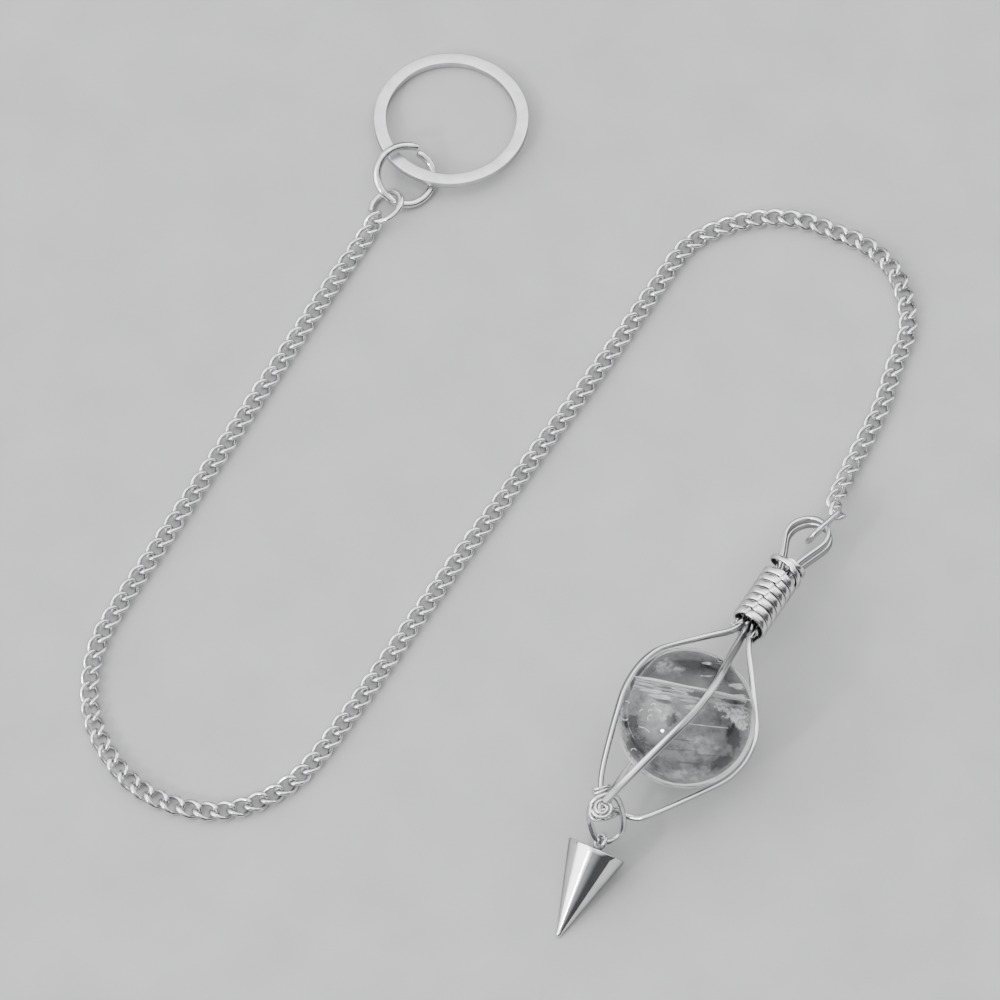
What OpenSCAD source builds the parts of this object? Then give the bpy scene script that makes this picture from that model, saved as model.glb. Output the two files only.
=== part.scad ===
// Dowsing pendulum laid out on a flat surface: a clear stone ball in a cage of flat
// wire, with a wire-wrapped neck and hanging loop, a pointed cone drop on an oval
// ring, and a long curb chain that ends in two jump rings and a flat key ring.
// Millimetres, +Z up. The surface is at Z = 0 and the origin is under the middle.

/* [Stone ball] */
// Diameter of the ball
ball_d = 20; // [16:0.5:24]
// Gap between the ball and the cage wires
ball_gap = 0.16; // [0.14:0.02:0.3]

/* [Cage wire] */
// Width of the flat wire
wire_w = 1.1; // [0.9:0.05:1.3]
// Thickness of the flat wire
wire_t = 0.75; // [0.6:0.05:0.9]
// Gap between wires that lie side by side
wire_gap = 0.14; // [0.12:0.02:0.3]
// Distance from the ball to the point where the cage wires meet
tail_l = 7.2; // [6:0.2:10]
// Sideways swing of that point from the line of the neck, degrees
tail_swing = 10.9; // [9:0.1:13]
// Height of that point over the surface
knot_z = 10.85; // [10.4:0.05:11.3]
// Length of the straight wire ends past that point
tail_end = 2.2; // [2:0.1:3]
// Diameter of the wire wound round these ends
wrap_d = 0.45; // [0.35:0.05:0.5]
// Outer radius of the flat scroll that it ends in
scroll_r = 1.75; // [1.5:0.05:2]

/* [Binding coil] */
// Number of turns
coil_turns = 8; // [6:1:10]
// Width of the coil's flat wire
coil_w = 1.22; // [0.9:0.02:1.3]
// Thickness of the coil's flat wire
coil_t = 0.75; // [0.5:0.05:0.9]
// Gap between turns
coil_gap = 0.12; // [0.1:0.01:0.3]
// Clearance between the wires inside and the coil
coil_clear = 0.6; // [0.3:0.05:0.7]
// Distance from the ball to the coil
coil_stand = 7.3; // [7:0.1:10]
// Diameter of the cut wire ends in the coil's mouth
stub_d = 0.6; // [0.4:0.05:0.7]
// Length by which these ends stand out of the mouth
stub_out = 0.9; // [0.4:0.1:1.4]

/* [Hanging loop] */
// Outer width of the loop
loop_d = 7.2; // [6.8:0.1:8]
// Distance from the coil to the middle of the loop
loop_neck = 7.4; // [6.6:0.2:9]
// Turn of the loop about the line of the neck, degrees
loop_roll = 20; // [0:2:30]

/* [Chain] */
// Length of a link
link_l = 4.04; // [3.9:0.02:4.1]
// Width of a link
link_w = 3; // [2.9:0.02:3.1]
// Diameter of the link wire
link_wire = 0.68; // [0.6:0.02:0.7]
// Twist of each end of a link, degrees
link_twist = 55; // [50:1:60]
// Slack between two links that pull on each other
link_slack = 0.22; // [0.18:0.02:0.3]

/* [Key ring] */
// Outer diameter of the key ring
key_d = 23.5; // [22:0.5:26]
// Width of its flat band
key_band = 1.85; // [1.5:0.05:2.1]
// Thickness of its band
key_t = 1.2; // [0.9:0.05:1.3]
// Edge bevel of its band
key_bevel = 0.15; // [0.05:0.05:0.25]
// Lift of its near edge over the jump ring's wire that it lies on
key_lift = 0.85; // [0.7:0.05:1.3]

/* [Jump rings] */
// Outer diameter of the large jump ring
large_d = 10; // [9.7:0.1:10.4]
// Wire diameter of the large jump ring
large_wire = 1.2; // [0.9:0.05:1.25]
// Tilt of the large jump ring, degrees
large_tilt = 23; // [21:1:25]
// Outer diameter of the small jump ring
small_d = 6.3; // [6.1:0.1:6.6]
// Wire diameter of the small jump ring
small_wire = 0.95; // [0.7:0.05:1]
// Tilt of the small jump ring, degrees
small_tilt = 32; // [31:1:35]
// Slack of the large jump ring round the key ring's band
large_slack = 1.8; // [1.6:0.1:2]
// Slack between the two jump rings
small_slack = 0.26; // [0.2:0.02:0.5]
// Width of the cut in a jump ring
ring_cut = 0.3; // [0.15:0.05:0.6]

/* [Connector link] */
// Wire diameter of the connector link
conn_wire = 0.75; // [0.6:0.05:0.8]
// Clearance beside the loop's wires inside it
conn_side = 0.55; // [0.45:0.05:0.65]
// Straight length of its sides
conn_straight = 2.6; // [2.2:0.1:3]
// Downward slope of the connector link, degrees
conn_slope = 18; // [15:1:21]

/* [Bottom ring] */
// Wire diameter of the bottom ring
oval_wire = 0.85; // [0.7:0.05:0.9]
// Outer width of the bottom ring
oval_w = 5.7; // [5.6:0.1:6.2]
// Outer length of the bottom ring
oval_l = 10.2; // [10:0.1:10.6]

/* [Cone drop] */
// Diameter of the cone's base
cone_d = 8.7; // [8:0.1:9.4]
// Length of the cone
cone_l = 13.6; // [12:0.2:15]
// Diameter of the blunt tip
cone_tip_d = 0.5; // [0.3:0.05:0.8]
// Edge bevel of the base
cone_bevel = 0.2; // [0.1:0.05:0.3]
// Wire diameter of the eye on the base
eye_wire = 0.7; // [0.5:0.05:0.8]
// Clearance round the bottom ring's wire in the eye
eye_clear = 0.25; // [0.15:0.05:0.4]

/* [Layout on the surface] */
// Ball, from left to right
ball_x = 26.3; // [25.5:0.1:27]
// Ball, from front to back
ball_y = -38.2; // [-39:0.1:-37.5]
// Compass heading of the neck, degrees from +X
neck_heading = 58.5; // [57:0.5:62]
// Downward slope of the neck towards its loop, degrees
neck_slope = 9; // [8:0.5:10]
// Compass heading of the bottom ring, degrees from +X
oval_heading = 292; // [288:1:296]
// Compass heading of the cone drop, degrees from +X
cone_heading = 244.5; // [240:1:250]
// Key ring, from left to right
key_x = -7.4; // [-7.8:0.1:-7]
// Key ring, from front to back
key_y = 61.7; // [61.4:0.1:62]
// Compass heading from the key ring to the large jump ring, degrees from +X
large_heading = 235; // [234:0.5:236]
// Compass heading from the large jump ring to the small one, degrees from +X
small_heading = 239.5; // [238.5:0.5:240.5]

/* [Hidden] */
$fn = 48;

// Middle of the chain's route between its two ends, as [x, y] on the surface
CHAIN_ROUTE = [
  [-26.8, 31.5], [-34.3, 18.8], [-41.5, 6.5], [-48.5, -5.5], [-55, -16.5], [-58, -22.5],
  [-59.1, -28.5], [-58.7, -34], [-56.7, -39], [-53, -44], [-48, -47.2], [-41.5, -48.7],
  [-35.5, -47.6], [-30.3, -44.7], [-26.5, -40.8], [-20, -31.4], [-12.2, -19.2], [-5.5, -9],
  [0, -1], [5.3, 7], [12.3, 17.2], [19, 27.3], [24.3, 35.6], [28, 40.8], [32.8, 43.8],
  [39, 45.5], [45, 45.2], [50, 43.3], [55, 40.8], [58.8, 36.7], [60.5, 31.5], [60.5, 26.5],
  [58.6, 21.5], [56.4, 14.8], [53.3, 8.3], [51.4, 4.5], [49.9, 1.1], [48.8, -1.8]];

// Vectors
function unit(a) = a / norm(a);
function mix(a, b, t) = a * (1 - t) + b * t;
function compass(heading, slope) = [cos(slope) * cos(heading), cos(slope) * sin(heading), -sin(slope)];

// Flat wire section with a broad crowned face, as [across, out] from its middle
crown = 0.35;
function flat_section(w, t) = [
  [w / 2, 0], [w * crown, t / 2], [-w * crown, t / 2],
  [-w / 2, 0], [-w * crown, -t / 2], [w * crown, -t / 2]];

// Points of a section swept along a path, each ring lying across the path
function sweep_points(path, across, section) = let (last = len(path) - 1) [
  for (i = [0:last])
    let (along = unit(path[min(i + 1, last)] - path[max(i - 1, 0)]),
         out = unit(cross(across[i], along)),
         side = cross(along, out))
    for (s = section) path[i] + side * s.x + out * s.y];
function sweep_faces(rings, m) = concat(
  [[for (j = [0:m - 1]) m - 1 - j], [for (j = [0:m - 1]) (rings - 1) * m + j]],
  [for (i = [0:rings - 2], j = [0:m - 1])
    let (a = i * m + j, b = i * m + (j + 1) % m)
    each [[a, b, b + m], [a, b + m, a + m]]]);
module sweep(path, across, section) {
  polyhedron(sweep_points(path, across, section), sweep_faces(len(path), len(section)), convexity = 8);
}

// Pendant frame: u runs up the neck, v to its left, w away from the surface
u = compass(neck_heading, neck_slope);
v = [-sin(neck_heading), cos(neck_heading), 0];
w = cross(u, v);
wire_r = ball_d / 2 + ball_gap + wire_t / 2;
function about_neck(a) = v * sin(a) + w * cos(a);

// Neck: four strands pass through the coil in two rows of two
coil_start = ball_d / 2 + coil_stand;
coil_pitch = coil_w + coil_gap;
coil_end = coil_start + coil_turns * coil_pitch;
strand_v = (wire_t + wire_gap) / 2;
strand_w = (wire_w + wire_gap) / 2;
bundle_r = norm([strand_v + wire_t / 2, strand_w + wire_w / 2]);
coil_r = bundle_r + coil_clear + coil_t / 2;
side_dir = about_neck(90 + loop_roll);
face_dir = about_neck(loop_roll);
// Places on the pendant are measured from the ball's middle
function strand_at(x, side, face) = u * x + side_dir * side * strand_v + face_dir * face * strand_w;

// Hanging loop: an arc with two straight arms down to the coil
loop_r = (loop_d - wire_t) / 2;
loop_x = coil_end + loop_neck;
loop_arc = 180 - atan(strand_v / loop_neck) - acos(loop_r / norm([loop_neck, strand_v]));
loop_steps = 12;
function loop_point(a, face) =
  u * (loop_x + loop_r * cos(a)) + side_dir * loop_r * sin(a) + face_dir * face * strand_w;
function loop_path(face) =
  [for (i = [0:loop_steps]) loop_point(loop_arc * (1 - 2 * i / loop_steps), face)];

// Tail: the point where the cage wires meet, and its own frame
tail_r = ball_d / 2 + tail_l;
tail_slope = asin((wire_r + wire_t / 2 - knot_z) / tail_r);
tail_u = compass(neck_heading + 180 - tail_swing, tail_slope);
tail_v = unit(v - tail_u * (v * tail_u));
tail_w = cross(tail_v, tail_u);
wire_bevel = 0.05;
tail_side = (wire_w + wire_t) / 2 - wire_bevel;
// The knot's own frame is turned from the tail towards the bottom ring
knot_turn = 55;
knot_u = tail_u * cos(knot_turn) - tail_v * sin(knot_turn);
knot_v = tail_v * cos(knot_turn) + tail_u * sin(knot_turn);
// Over the three wires bound together lie the bottom ring's wire, the scroll and the front wire's end
knot_gap = 0.18;
oval_back = 0.5;
oval_side = 0.3;
oval_rise = wire_w / 2 + oval_wire + 2 * wire_gap;
scroll_rise = oval_rise + (oval_wire + wrap_d) / 2 + knot_gap;
front_rise = scroll_rise + (wrap_d + wire_t) / 2 + knot_gap;
front_end = 1.1;
front_side = 0.4;
front_run = 3;
function tail_dir(a) = tail_v * sin(a) + tail_w * cos(a);
function knot_at(x, rise, a) = tail_u * tail_r + knot_u * x + (knot_v * sin(a) + tail_w * cos(a)) * rise;
// Bow of the left wire before the knot, as [along, left, up] from the knot
LEFT_BOW = [[-2.6, 3, 1.5], [-1.2, 1.7, 0.5]];
// Hook of the right wire behind the bottom ring's right arm and up to the knot, as [down the ring,
// out from its arm, behind it]
RIGHT_HOOK = [[1.8, 3.35, -0.9], [2.15, 2.15, -0.25], [2.2, 1.1, 0.55], [1.7, 0.15, 1.45],
  [0.4, -0.9, 1.6], [-0.6, -1.85, 1.75]];
function bent(a) = [for (p = a) tail_u * (tail_r + p.x) + tail_v * p.y + tail_w * p.z];
function run_out(x, rise, a) = [knot_at(x, rise, a), knot_at(tail_end, rise, a)];
left_out = concat(bent(LEFT_BOW), run_out(0, tail_side, 90));
front_tip = knot_at(front_end, front_rise, 0) + knot_v * front_side;
front_out = [front_tip - tail_u * front_run, front_tip];
back_out = run_out(0, tail_side, 180);
// Angles of each cage wire at the upper and the lower side of the ball, from the top towards the
// left, and the way its width lies in the knot
rib_front = [-13, -15, tail_v];
rib_left = [57, 56, tail_w];
rib_back = [182, 160, knot_v];
rib_right = [-103, -110, tail_w];

// Cage wire from the coil over the ball to the knot: straight to the ball, round it, straight on
rib_steps = 8;
lead_steps = 3;
// Turn of a from the unit vector e towards the direction d
function turned(e, d, a) = e * cos(a) + unit(d - e * (d * e)) * sin(a);
function smooth(t) = t * t * (3 - 2 * t);
function rib_start(side, face) = strand_at(coil_start - wire_t / 2, side, face);
// Directions from the ball's middle to the points where the wire lies on the ball
function rib_arc(a, p, q) = let (
    e1 = unit(p),
    e2 = unit(q),
    g1 = acos(wire_r / norm(p)),
    g2 = acos(wire_r / norm(q)),
    g = acos(e1 * e2) - g1 - g2)
  [for (i = [0:rib_steps])
    let (t = i / rib_steps,
         upper = turned(e1, about_neck(a[0]), g1 + g * t),
         lower = turned(e2, tail_dir(a[1]), g2 + g * (1 - t)))
    unit(mix(upper, lower, smooth(t)))];
function rib_path(side, face, a, out) = let (
    p = rib_start(side, face),
    arc = rib_arc(a, p, out[0])) concat(
  [strand_at(coil_end, side, face)],
  [for (i = [0:lead_steps - 1]) mix(p, wire_r * arc[0], i / lead_steps)],
  [for (n = arc) wire_r * n],
  out);
// The wire keeps its broad face outwards on the ball and turns before and after it
function facing(n, d) = n * d >= 0 ? n : -n;
function rib_across(side, face, a, out) = let (
    arc = rib_arc(a, rib_start(side, face), out[0]),
    first = facing(unit(cross(arc[1] - arc[0], arc[0])), face_dir),
    over = [for (i = [0:rib_steps])
      facing(unit(cross(arc[min(i + 1, rib_steps)] - arc[max(i - 1, 0)], arc[i])), first)],
    knot = facing(a[2], over[rib_steps]),
    last = len(out) - 1) concat(
  [face_dir],
  [for (i = [0:lead_steps - 1]) unit(mix(face_dir, first, i / lead_steps))],
  over,
  [for (i = [0:last]) unit(mix(over[rib_steps], knot, min(1, (i + 1) / last)))]);
function reversed(a) = [for (i = [len(a) - 1:-1:0]) a[i]];
// One wire of the cage: a rib, its way through the coil, the loop and a second rib, as [path, across]
function cage_wire(a1, out1, a2, out2, face) = [
  concat(reversed(rib_path(1, face, a1, out1)), loop_path(face), rib_path(-1, face, a2, out2)),
  concat(reversed(rib_across(1, face, a1, out1)), [for (i = [0:loop_steps]) face_dir],
    rib_across(-1, face, a2, out2))];
wire_section = flat_section(wire_w, wire_t);

// The lower wire's back rib rests on the surface and carries the ball
back_points = sweep_points(rib_path(1, -1, rib_back, back_out), rib_across(1, -1, rib_back, back_out),
  wire_section);
ball_z = -min([for (p = back_points) p.z]);
ball_at = [ball_x, ball_y, ball_z];

// Cone drop on its side: the slope of its wall gives the slope of its axis. The eye's wire is
// soldered a little way into the base
cone_half = atan((cone_d - cone_tip_d) / 2 / cone_l);
eye_r = (oval_wire + eye_wire) / 2 + eye_clear;
eye_sunk = 0.15;
eye_x = eye_r + eye_wire / 2 - eye_sunk;
cone_dir = compass(cone_heading, cone_half);
cone_base_z = cone_d / 2 * cos(cone_half);
eye_z = cone_base_z + eye_x * sin(cone_half);

// Bottom ring: from under the front cage wire down to the cone's eye
oval_r = (oval_w - oval_wire) / 2;
oval_half = (oval_l - oval_wire) / 2;
oval_top = ball_at + knot_at(-oval_back, oval_rise, 0) + knot_v * oval_side;
// The cone's eye holds it at this angle to the left of its lowest point
eye_angle = 40;
oval_arc = 2 * oval_half - oval_r;
steepest = 0.98;
oval_slope = asin(min(steepest, (oval_top.z - eye_z) / (oval_arc + oval_r * cos(eye_angle))));
oval_dir = compass(oval_heading, oval_slope);
oval_left = [sin(oval_heading), -cos(oval_heading), 0];
oval_at = oval_top + oval_dir * oval_half;
eye_at = oval_top + oval_dir * (oval_arc + oval_r * cos(eye_angle)) + oval_left * oval_r * sin(eye_angle);
// The eye is turned about the cone's axis to face along the ring's wire
ring_along = oval_left * cos(eye_angle) - oval_dir * sin(eye_angle);
cone_left = [-sin(cone_heading), cos(cone_heading), 0];
eye_roll = atan2(ring_along * cross(cone_dir, cone_left), ring_along * cone_left);
cone_at = [eye_at.x, eye_at.y, 0] + [cone_dir.x, cone_dir.y, 0] * eye_x + [0, 0, cone_base_z];

// The two wires of the cage
oval_behind = cross(oval_dir, oval_left);
right_out = [for (p = RIGHT_HOOK)
  oval_at - ball_at + oval_dir * p.x - oval_left * (oval_r + p.y) + oval_behind * p.z];
upper_wire = cage_wire(rib_left, left_out, rib_front, front_out, 1);
lower_wire = cage_wire(rib_back, back_out, rib_right, right_out, -1);

// Coil: a flat wire wound round the neck, with one loose slanting turn at the loop end
coil_steps = 14;
coil_from = 150;
loose_rise = 1;
loose_swell = 0.25;
function coil_point(i) = let (
    turn = i / coil_steps,
    x = coil_start + coil_w / 2 + turn * coil_pitch,
    loose = max(0, turn - coil_turns + 1),
    a = 360 * turn + coil_from)
  u * (x + loose * loose_rise) + about_neck(a) * (coil_r + loose_swell * loose);
coil_rings = coil_steps * coil_turns;

// Wire wound round the ends of three cage wires, then up beside them and into a flat scroll
wrap_steps = 12;
wrap_turns = 1.5;
wrap_from = 1.1;
wrap_r = norm([tail_side + wire_t / 2, wire_w * crown]) + wire_gap + wrap_d / 2;
scroll_turns = 1.75;
scroll_at = 1.5;
scroll_side = 0.7;
scroll_pitch = wrap_d + wire_gap;
function wrap_point(i) = knot_at(wrap_from + (wrap_d + wire_gap) * i / wrap_steps, wrap_r,
  90 + 360 * (wrap_turns - i / wrap_steps));
function scroll_point(i) = let (
    turn = i / wrap_steps,
    r = scroll_r - wrap_d / 2 - scroll_pitch * turn)
  tail_u * tail_r + knot_u * (scroll_at + r * sin(360 * turn)) + knot_v * (scroll_side + r * cos(360 * turn))
    + tail_w * scroll_rise;

// Chain: link points in the link's own frame, along, across and up
link_a = (link_l - link_wire) / 2;
link_b = (link_w - link_wire) / 2;
link_steps = 10;
link_sides = 5;
link_square = 0.9;
function bulge(c) = sign(c) * pow(abs(c), link_square);
function link_line(i) = let (
    t = 360 * (i + 0.5) / link_steps,
    x = link_a * bulge(cos(t)),
    y = link_b * bulge(sin(t)),
    a = link_twist * x / link_a) [x, y * cos(a), y * sin(a)];
function link_ring(i) = let (
    p = link_line(i),
    along = unit(link_line(i + 1) - link_line(i - 1)),
    n = unit(p - along * (p * along)),
    b = cross(along, n))
  [for (k = [0:link_sides - 1])
    let (turn = 360 * k / link_sides) p + link_wire / 2 * (n * cos(turn) + b * sin(turn))];
LINK = [for (i = [0:link_steps - 1]) each link_ring(i)];
link_rest = -min([for (p = LINK) p.z]);

// Key ring: its far edge rests on the surface and the jump ring lifts its near edge
key_tilt = asin((large_wire + key_lift) / key_d);
key_at = [key_x, key_y, key_t / 2 * cos(key_tilt) + key_d / 2 * sin(key_tilt)];

// Large jump ring round the key ring's band, its low side and its cut
large_r = (large_d - large_wire) / 2;
large_low = -45;
large_gap = 66;
large_reach = (key_d - key_band) / 2 + large_r - (key_band + large_wire) / 2 - large_slack;
large_at = [key_x, key_y, large_wire / 2 + large_r * sin(large_tilt)]
  + compass(large_heading, 0) * large_reach;

// Small jump ring, its high side, its cut and the place on it that the first link holds
small_r = (small_d - small_wire) / 2;
small_high = -25;
small_hook = -127;
small_gap = 195;
small_reach = large_r + small_r - (large_wire + small_wire) / 2 - small_slack;
small_at = [large_at.x, large_at.y, small_wire / 2 + small_r * sin(small_tilt)]
  + compass(small_heading, 0) * small_reach;
function ring_point(at, r, tilt, high, a) = at + r * [
    cos(high) * cos(a - high) * cos(tilt) - sin(high) * sin(a - high),
    sin(high) * cos(a - high) * cos(tilt) + cos(high) * sin(a - high),
    cos(a - high) * sin(tilt)];
hook_at = ring_point(small_at, small_r, small_tilt, small_high, small_hook);
hook_slack = 0.5;
hook_reach = link_a - link_wire / 2 - small_wire / 2 - hook_slack;

// Connector link: it holds the loop near the loop's far end, and the last link at its own outer end
conn_r = strand_w + wire_w / 2 + conn_side + conn_wire / 2;
conn_hook = -20;
conn_out = -0.1;
conn_lean = 33;
conn_swing = 9.5;
conn_heading = neck_heading - conn_swing;
conn_dir = compass(conn_heading, conn_slope);
conn_left = [-sin(conn_heading), cos(conn_heading), 0];
// It stands across the two strands of the loop and leans over from the way that they face
conn_roll = atan2(face_dir * cross(conn_dir, conn_left), face_dir * conn_left) + conn_lean;
conn_at = ball_at + u * (loop_x + loop_r * cos(conn_hook)) + side_dir * loop_r * sin(conn_hook)
  + conn_dir * conn_out;
conn_tip = conn_at + conn_dir * (conn_straight / 2 + conn_r);
conn_slack = 0.3;
conn_reach = link_a - link_wire / 2 - conn_wire / 2 - conn_slack;

// Route of the chain from the small jump ring to the connector link
rise_l = 13;
hook_lead = [-2.3, -3.9, 0.2];
function route_rise(p) = let (t = max(0, 1 - norm([p.x - conn_tip.x, p.y - conn_tip.y]) / rise_l))
  mix(link_rest, conn_tip.z, t * t);
route = concat(
  [hook_at, [hook_at.x + hook_lead.x, hook_at.y + hook_lead.y, link_rest + hook_lead.z]],
  [for (p = CHAIN_ROUTE) [p.x, p.y, route_rise(p)]],
  [conn_tip]);
function spline(p0, p1, p2, p3, t) = 0.5 * (2 * p1 + (p2 - p0) * t
  + (2 * p0 - 5 * p1 + 4 * p2 - p3) * t * t + (3 * p1 - 3 * p2 + p3 - p0) * t * t * t);
spline_steps = 10;
last_point = len(route) - 1;
route_fine = concat(
  [for (i = [0:last_point - 1], k = [0:spline_steps - 1])
    spline(route[max(i - 1, 0)], route[i], route[i + 1], route[min(i + 2, last_point)], k / spline_steps)],
  [route[last_point]]);
route_s = [for (i = 0, s = 0; i < len(route_fine); i = i + 1,
  s = i < len(route_fine) ? s + norm(route_fine[i] - route_fine[i - 1]) : s) s];
route_x = [for (i = [0:len(route_s) - 1]) [route_s[i], route_fine[i].x]];
route_y = [for (i = [0:len(route_s) - 1]) [route_s[i], route_fine[i].y]];
route_z = [for (i = [0:len(route_s) - 1]) [route_s[i], route_fine[i].z]];
function on_route(s) = [lookup(s, route_x), lookup(s, route_y), lookup(s, route_z)];
route_l = route_s[len(route_s) - 1];
links_l = route_l - hook_reach - conn_reach;
link_count = 1 + ceil(links_l / (link_l - 2 * link_wire - link_slack));
link_pitch = links_l / (link_count - 1);

// A link that slopes is raised until it lies on the surface
function raised(points) = let (low = min([for (p = points) p.z])) [for (p = points) p - [0, 0, min(0, low)]];
// The links roll over towards what holds them at either end
roll_links = 8;
start_roll = -35;
end_roll = -55;
function place_link(i) = let (
    s = hook_reach + i * link_pitch,
    along = unit(on_route(s + link_a / 2) - on_route(s - link_a / 2)),
    level = unit(cross([0, 0, 1], along)),
    roll = start_roll * max(0, 1 - i / roll_links)
      + end_roll * max(0, 1 - (link_count - 1 - i) / roll_links),
    across = level * cos(roll) + cross(along, level) * sin(roll),
    up = cross(along, across),
    at = on_route(s))
  raised([for (p = LINK) at + along * p.x + across * p.y + up * p.z]);
chain_points = [for (i = [0:link_count - 1]) each place_link(i)];
link_faces = [for (i = [0:link_steps - 1], k = [0:link_sides - 1])
  let (m = link_sides, j = (i + 1) % link_steps, n = (k + 1) % m)
  each [[i * m + k, j * m + k, j * m + n], [i * m + k, j * m + n, i * m + n]]];
chain_faces = [for (i = [0:link_count - 1], f = link_faces) [for (p = f) p + i * len(LINK)]];

// Middle of the whole layout, which stands over the origin
left = min([for (p = chain_points) p.x]);
right = max([for (p = chain_points) p.x]);
back = key_y + key_d / 2 * cos(key_tilt) + key_t / 2 * sin(key_tilt);
cone_end = cone_at + cone_dir * cone_l;
front = cone_end.y - cone_tip_d / 2 * sqrt(1 - pow(cone_dir.y, 2));
middle = [(left + right) / 2, (front + back) / 2, 0];

module laid_out() {
  translate(-middle) children();
}
module on_ball() {
  laid_out() translate(ball_at) children();
}
// Children drawn along +X are turned to a compass heading and slope, after a roll about +X
module aimed(at, heading, slope, roll = 0) {
  translate(at) rotate([roll, slope, heading]) children();
}
module round_arc(r, wire, from, sweep_angle) {
  rotate([0, 0, from]) rotate_extrude(angle = sweep_angle) translate([r, 0]) circle(d = wire, $fn = 24);
}
// Oval ring in the XY plane, long along X
module oval_ring(r, straight, wire) {
  for (s = [0, 180]) {
    rotate([0, 0, s]) translate([straight / 2, 0, 0]) round_arc(r, wire, -90, 180);
    rotate([0, 0, s]) translate([-straight / 2, r, 0]) rotate([0, 90, 0])
      cylinder(h = straight, d = wire, $fn = 24);
  }
}
module cut_ring(at, r, wire, tilt, high, cut_at) {
  cut = ring_cut / r * 180 / PI;
  translate(at) rotate([0, 0, high]) rotate([0, -tilt, 0])
    round_arc(r, wire, cut_at - high + cut / 2, 360 - cut);
}

module crystal_ball() {
  color("gainsboro") laid_out() translate(ball_at) sphere(d = ball_d);
}

module upper_cage_wire() {
  color("silver") on_ball() sweep(upper_wire[0], upper_wire[1], wire_section);
}

module lower_cage_wire() {
  color("darkgray") on_ball() sweep(lower_wire[0], lower_wire[1], wire_section);
}

module binding_coil() {
  path = [for (i = [0:coil_rings]) coil_point(i)];
  color("lightgray") on_ball() sweep(path, [for (p = path) u], flat_section(coil_w, coil_t));
}

// Cut wire ends that show between the strands in the coil's mouth
module wire_stubs() {
  r = (strand_v + wire_t / 2 + coil_r - coil_t / 2) / 2;
  color("gray") laid_out() for (a = [90, 270])
    aimed(ball_at, neck_heading, neck_slope, -loop_roll)
      rotate([a, 0, 0]) translate([coil_start - stub_out, 0, r])
        rotate([0, 90, 0]) cylinder(h = stub_out + 2 * coil_pitch, d = stub_d, $fn = 16);
}

module end_wrap() {
  turn_steps = 3;
  beside = wrap_point(wrap_steps * wrap_turns);
  path = concat(
    [for (i = [0:wrap_steps * wrap_turns]) wrap_point(i)],
    [for (i = [1:turn_steps]) mix(beside, scroll_point(0), i / (turn_steps + 1))],
    [for (i = [0:wrap_steps * scroll_turns]) scroll_point(i)]);
  across = concat(
    [for (i = [0:wrap_steps * wrap_turns]) knot_u],
    [for (i = [1:turn_steps]) mix(knot_u, knot_v, i / turn_steps)],
    [for (i = [0:wrap_steps * scroll_turns]) mix(knot_v, tail_w, min(1, i / turn_steps))]);
  color("lightgray") on_ball() sweep(path, across, flat_section(wrap_d, wrap_d));
}

module bottom_ring() {
  color("silver") laid_out() aimed(oval_at, oval_heading, oval_slope)
    oval_ring(oval_r, 2 * (oval_half - oval_r), oval_wire);
}

// Cone with a wire eye soldered to its base
module cone_drop() {
  color("lightgray") laid_out() aimed(cone_at, cone_heading, cone_half) {
    rotate([0, 90, 0]) {
      cylinder(h = cone_bevel, d1 = cone_d - 2 * cone_bevel, d2 = cone_d - 2 * cone_bevel * tan(cone_half));
      translate([0, 0, cone_bevel])
        cylinder(h = cone_l - cone_bevel, d1 = cone_d - 2 * cone_bevel * tan(cone_half), d2 = cone_tip_d);
    }
    translate([-eye_x, 0, 0]) rotate([eye_roll + 90, 0, 0]) round_arc(eye_r, eye_wire, 0, 360);
  }
}

module connector_link() {
  color("silver") laid_out() translate(conn_at)
    rotate([conn_roll, conn_slope, conn_heading]) oval_ring(conn_r, conn_straight, conn_wire);
}

module chain() {
  color("silver") laid_out() polyhedron(chain_points, chain_faces, convexity = 10);
}

module small_jump_ring() {
  color("lightgray") laid_out() cut_ring(small_at, small_r, small_wire, small_tilt, small_high, small_gap);
}

module large_jump_ring() {
  color("lightgray") laid_out()
    cut_ring(large_at, large_r, large_wire, large_tilt, large_low + 180, large_gap);
}

module key_ring() {
  b = key_bevel;
  color("silver") laid_out() translate(key_at) rotate([-key_tilt, 0, 0])
    rotate_extrude($fn = 96) translate([key_d / 2 - key_band, -key_t / 2])
      polygon([[b, 0], [key_band - b, 0], [key_band, b], [key_band, key_t - b],
               [key_band - b, key_t], [b, key_t], [0, key_t - b], [0, b]]);
}

crystal_ball();
upper_cage_wire();
lower_cage_wire();
binding_coil();
wire_stubs();
end_wrap();
bottom_ring();
cone_drop();
connector_link();
chain();
small_jump_ring();
large_jump_ring();
key_ring();
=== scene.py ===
"""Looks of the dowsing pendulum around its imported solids: finer wires, links and rings from the
same construction, a clear stone with veils inside it, and the metals' finishes."""

import math
import random

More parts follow.
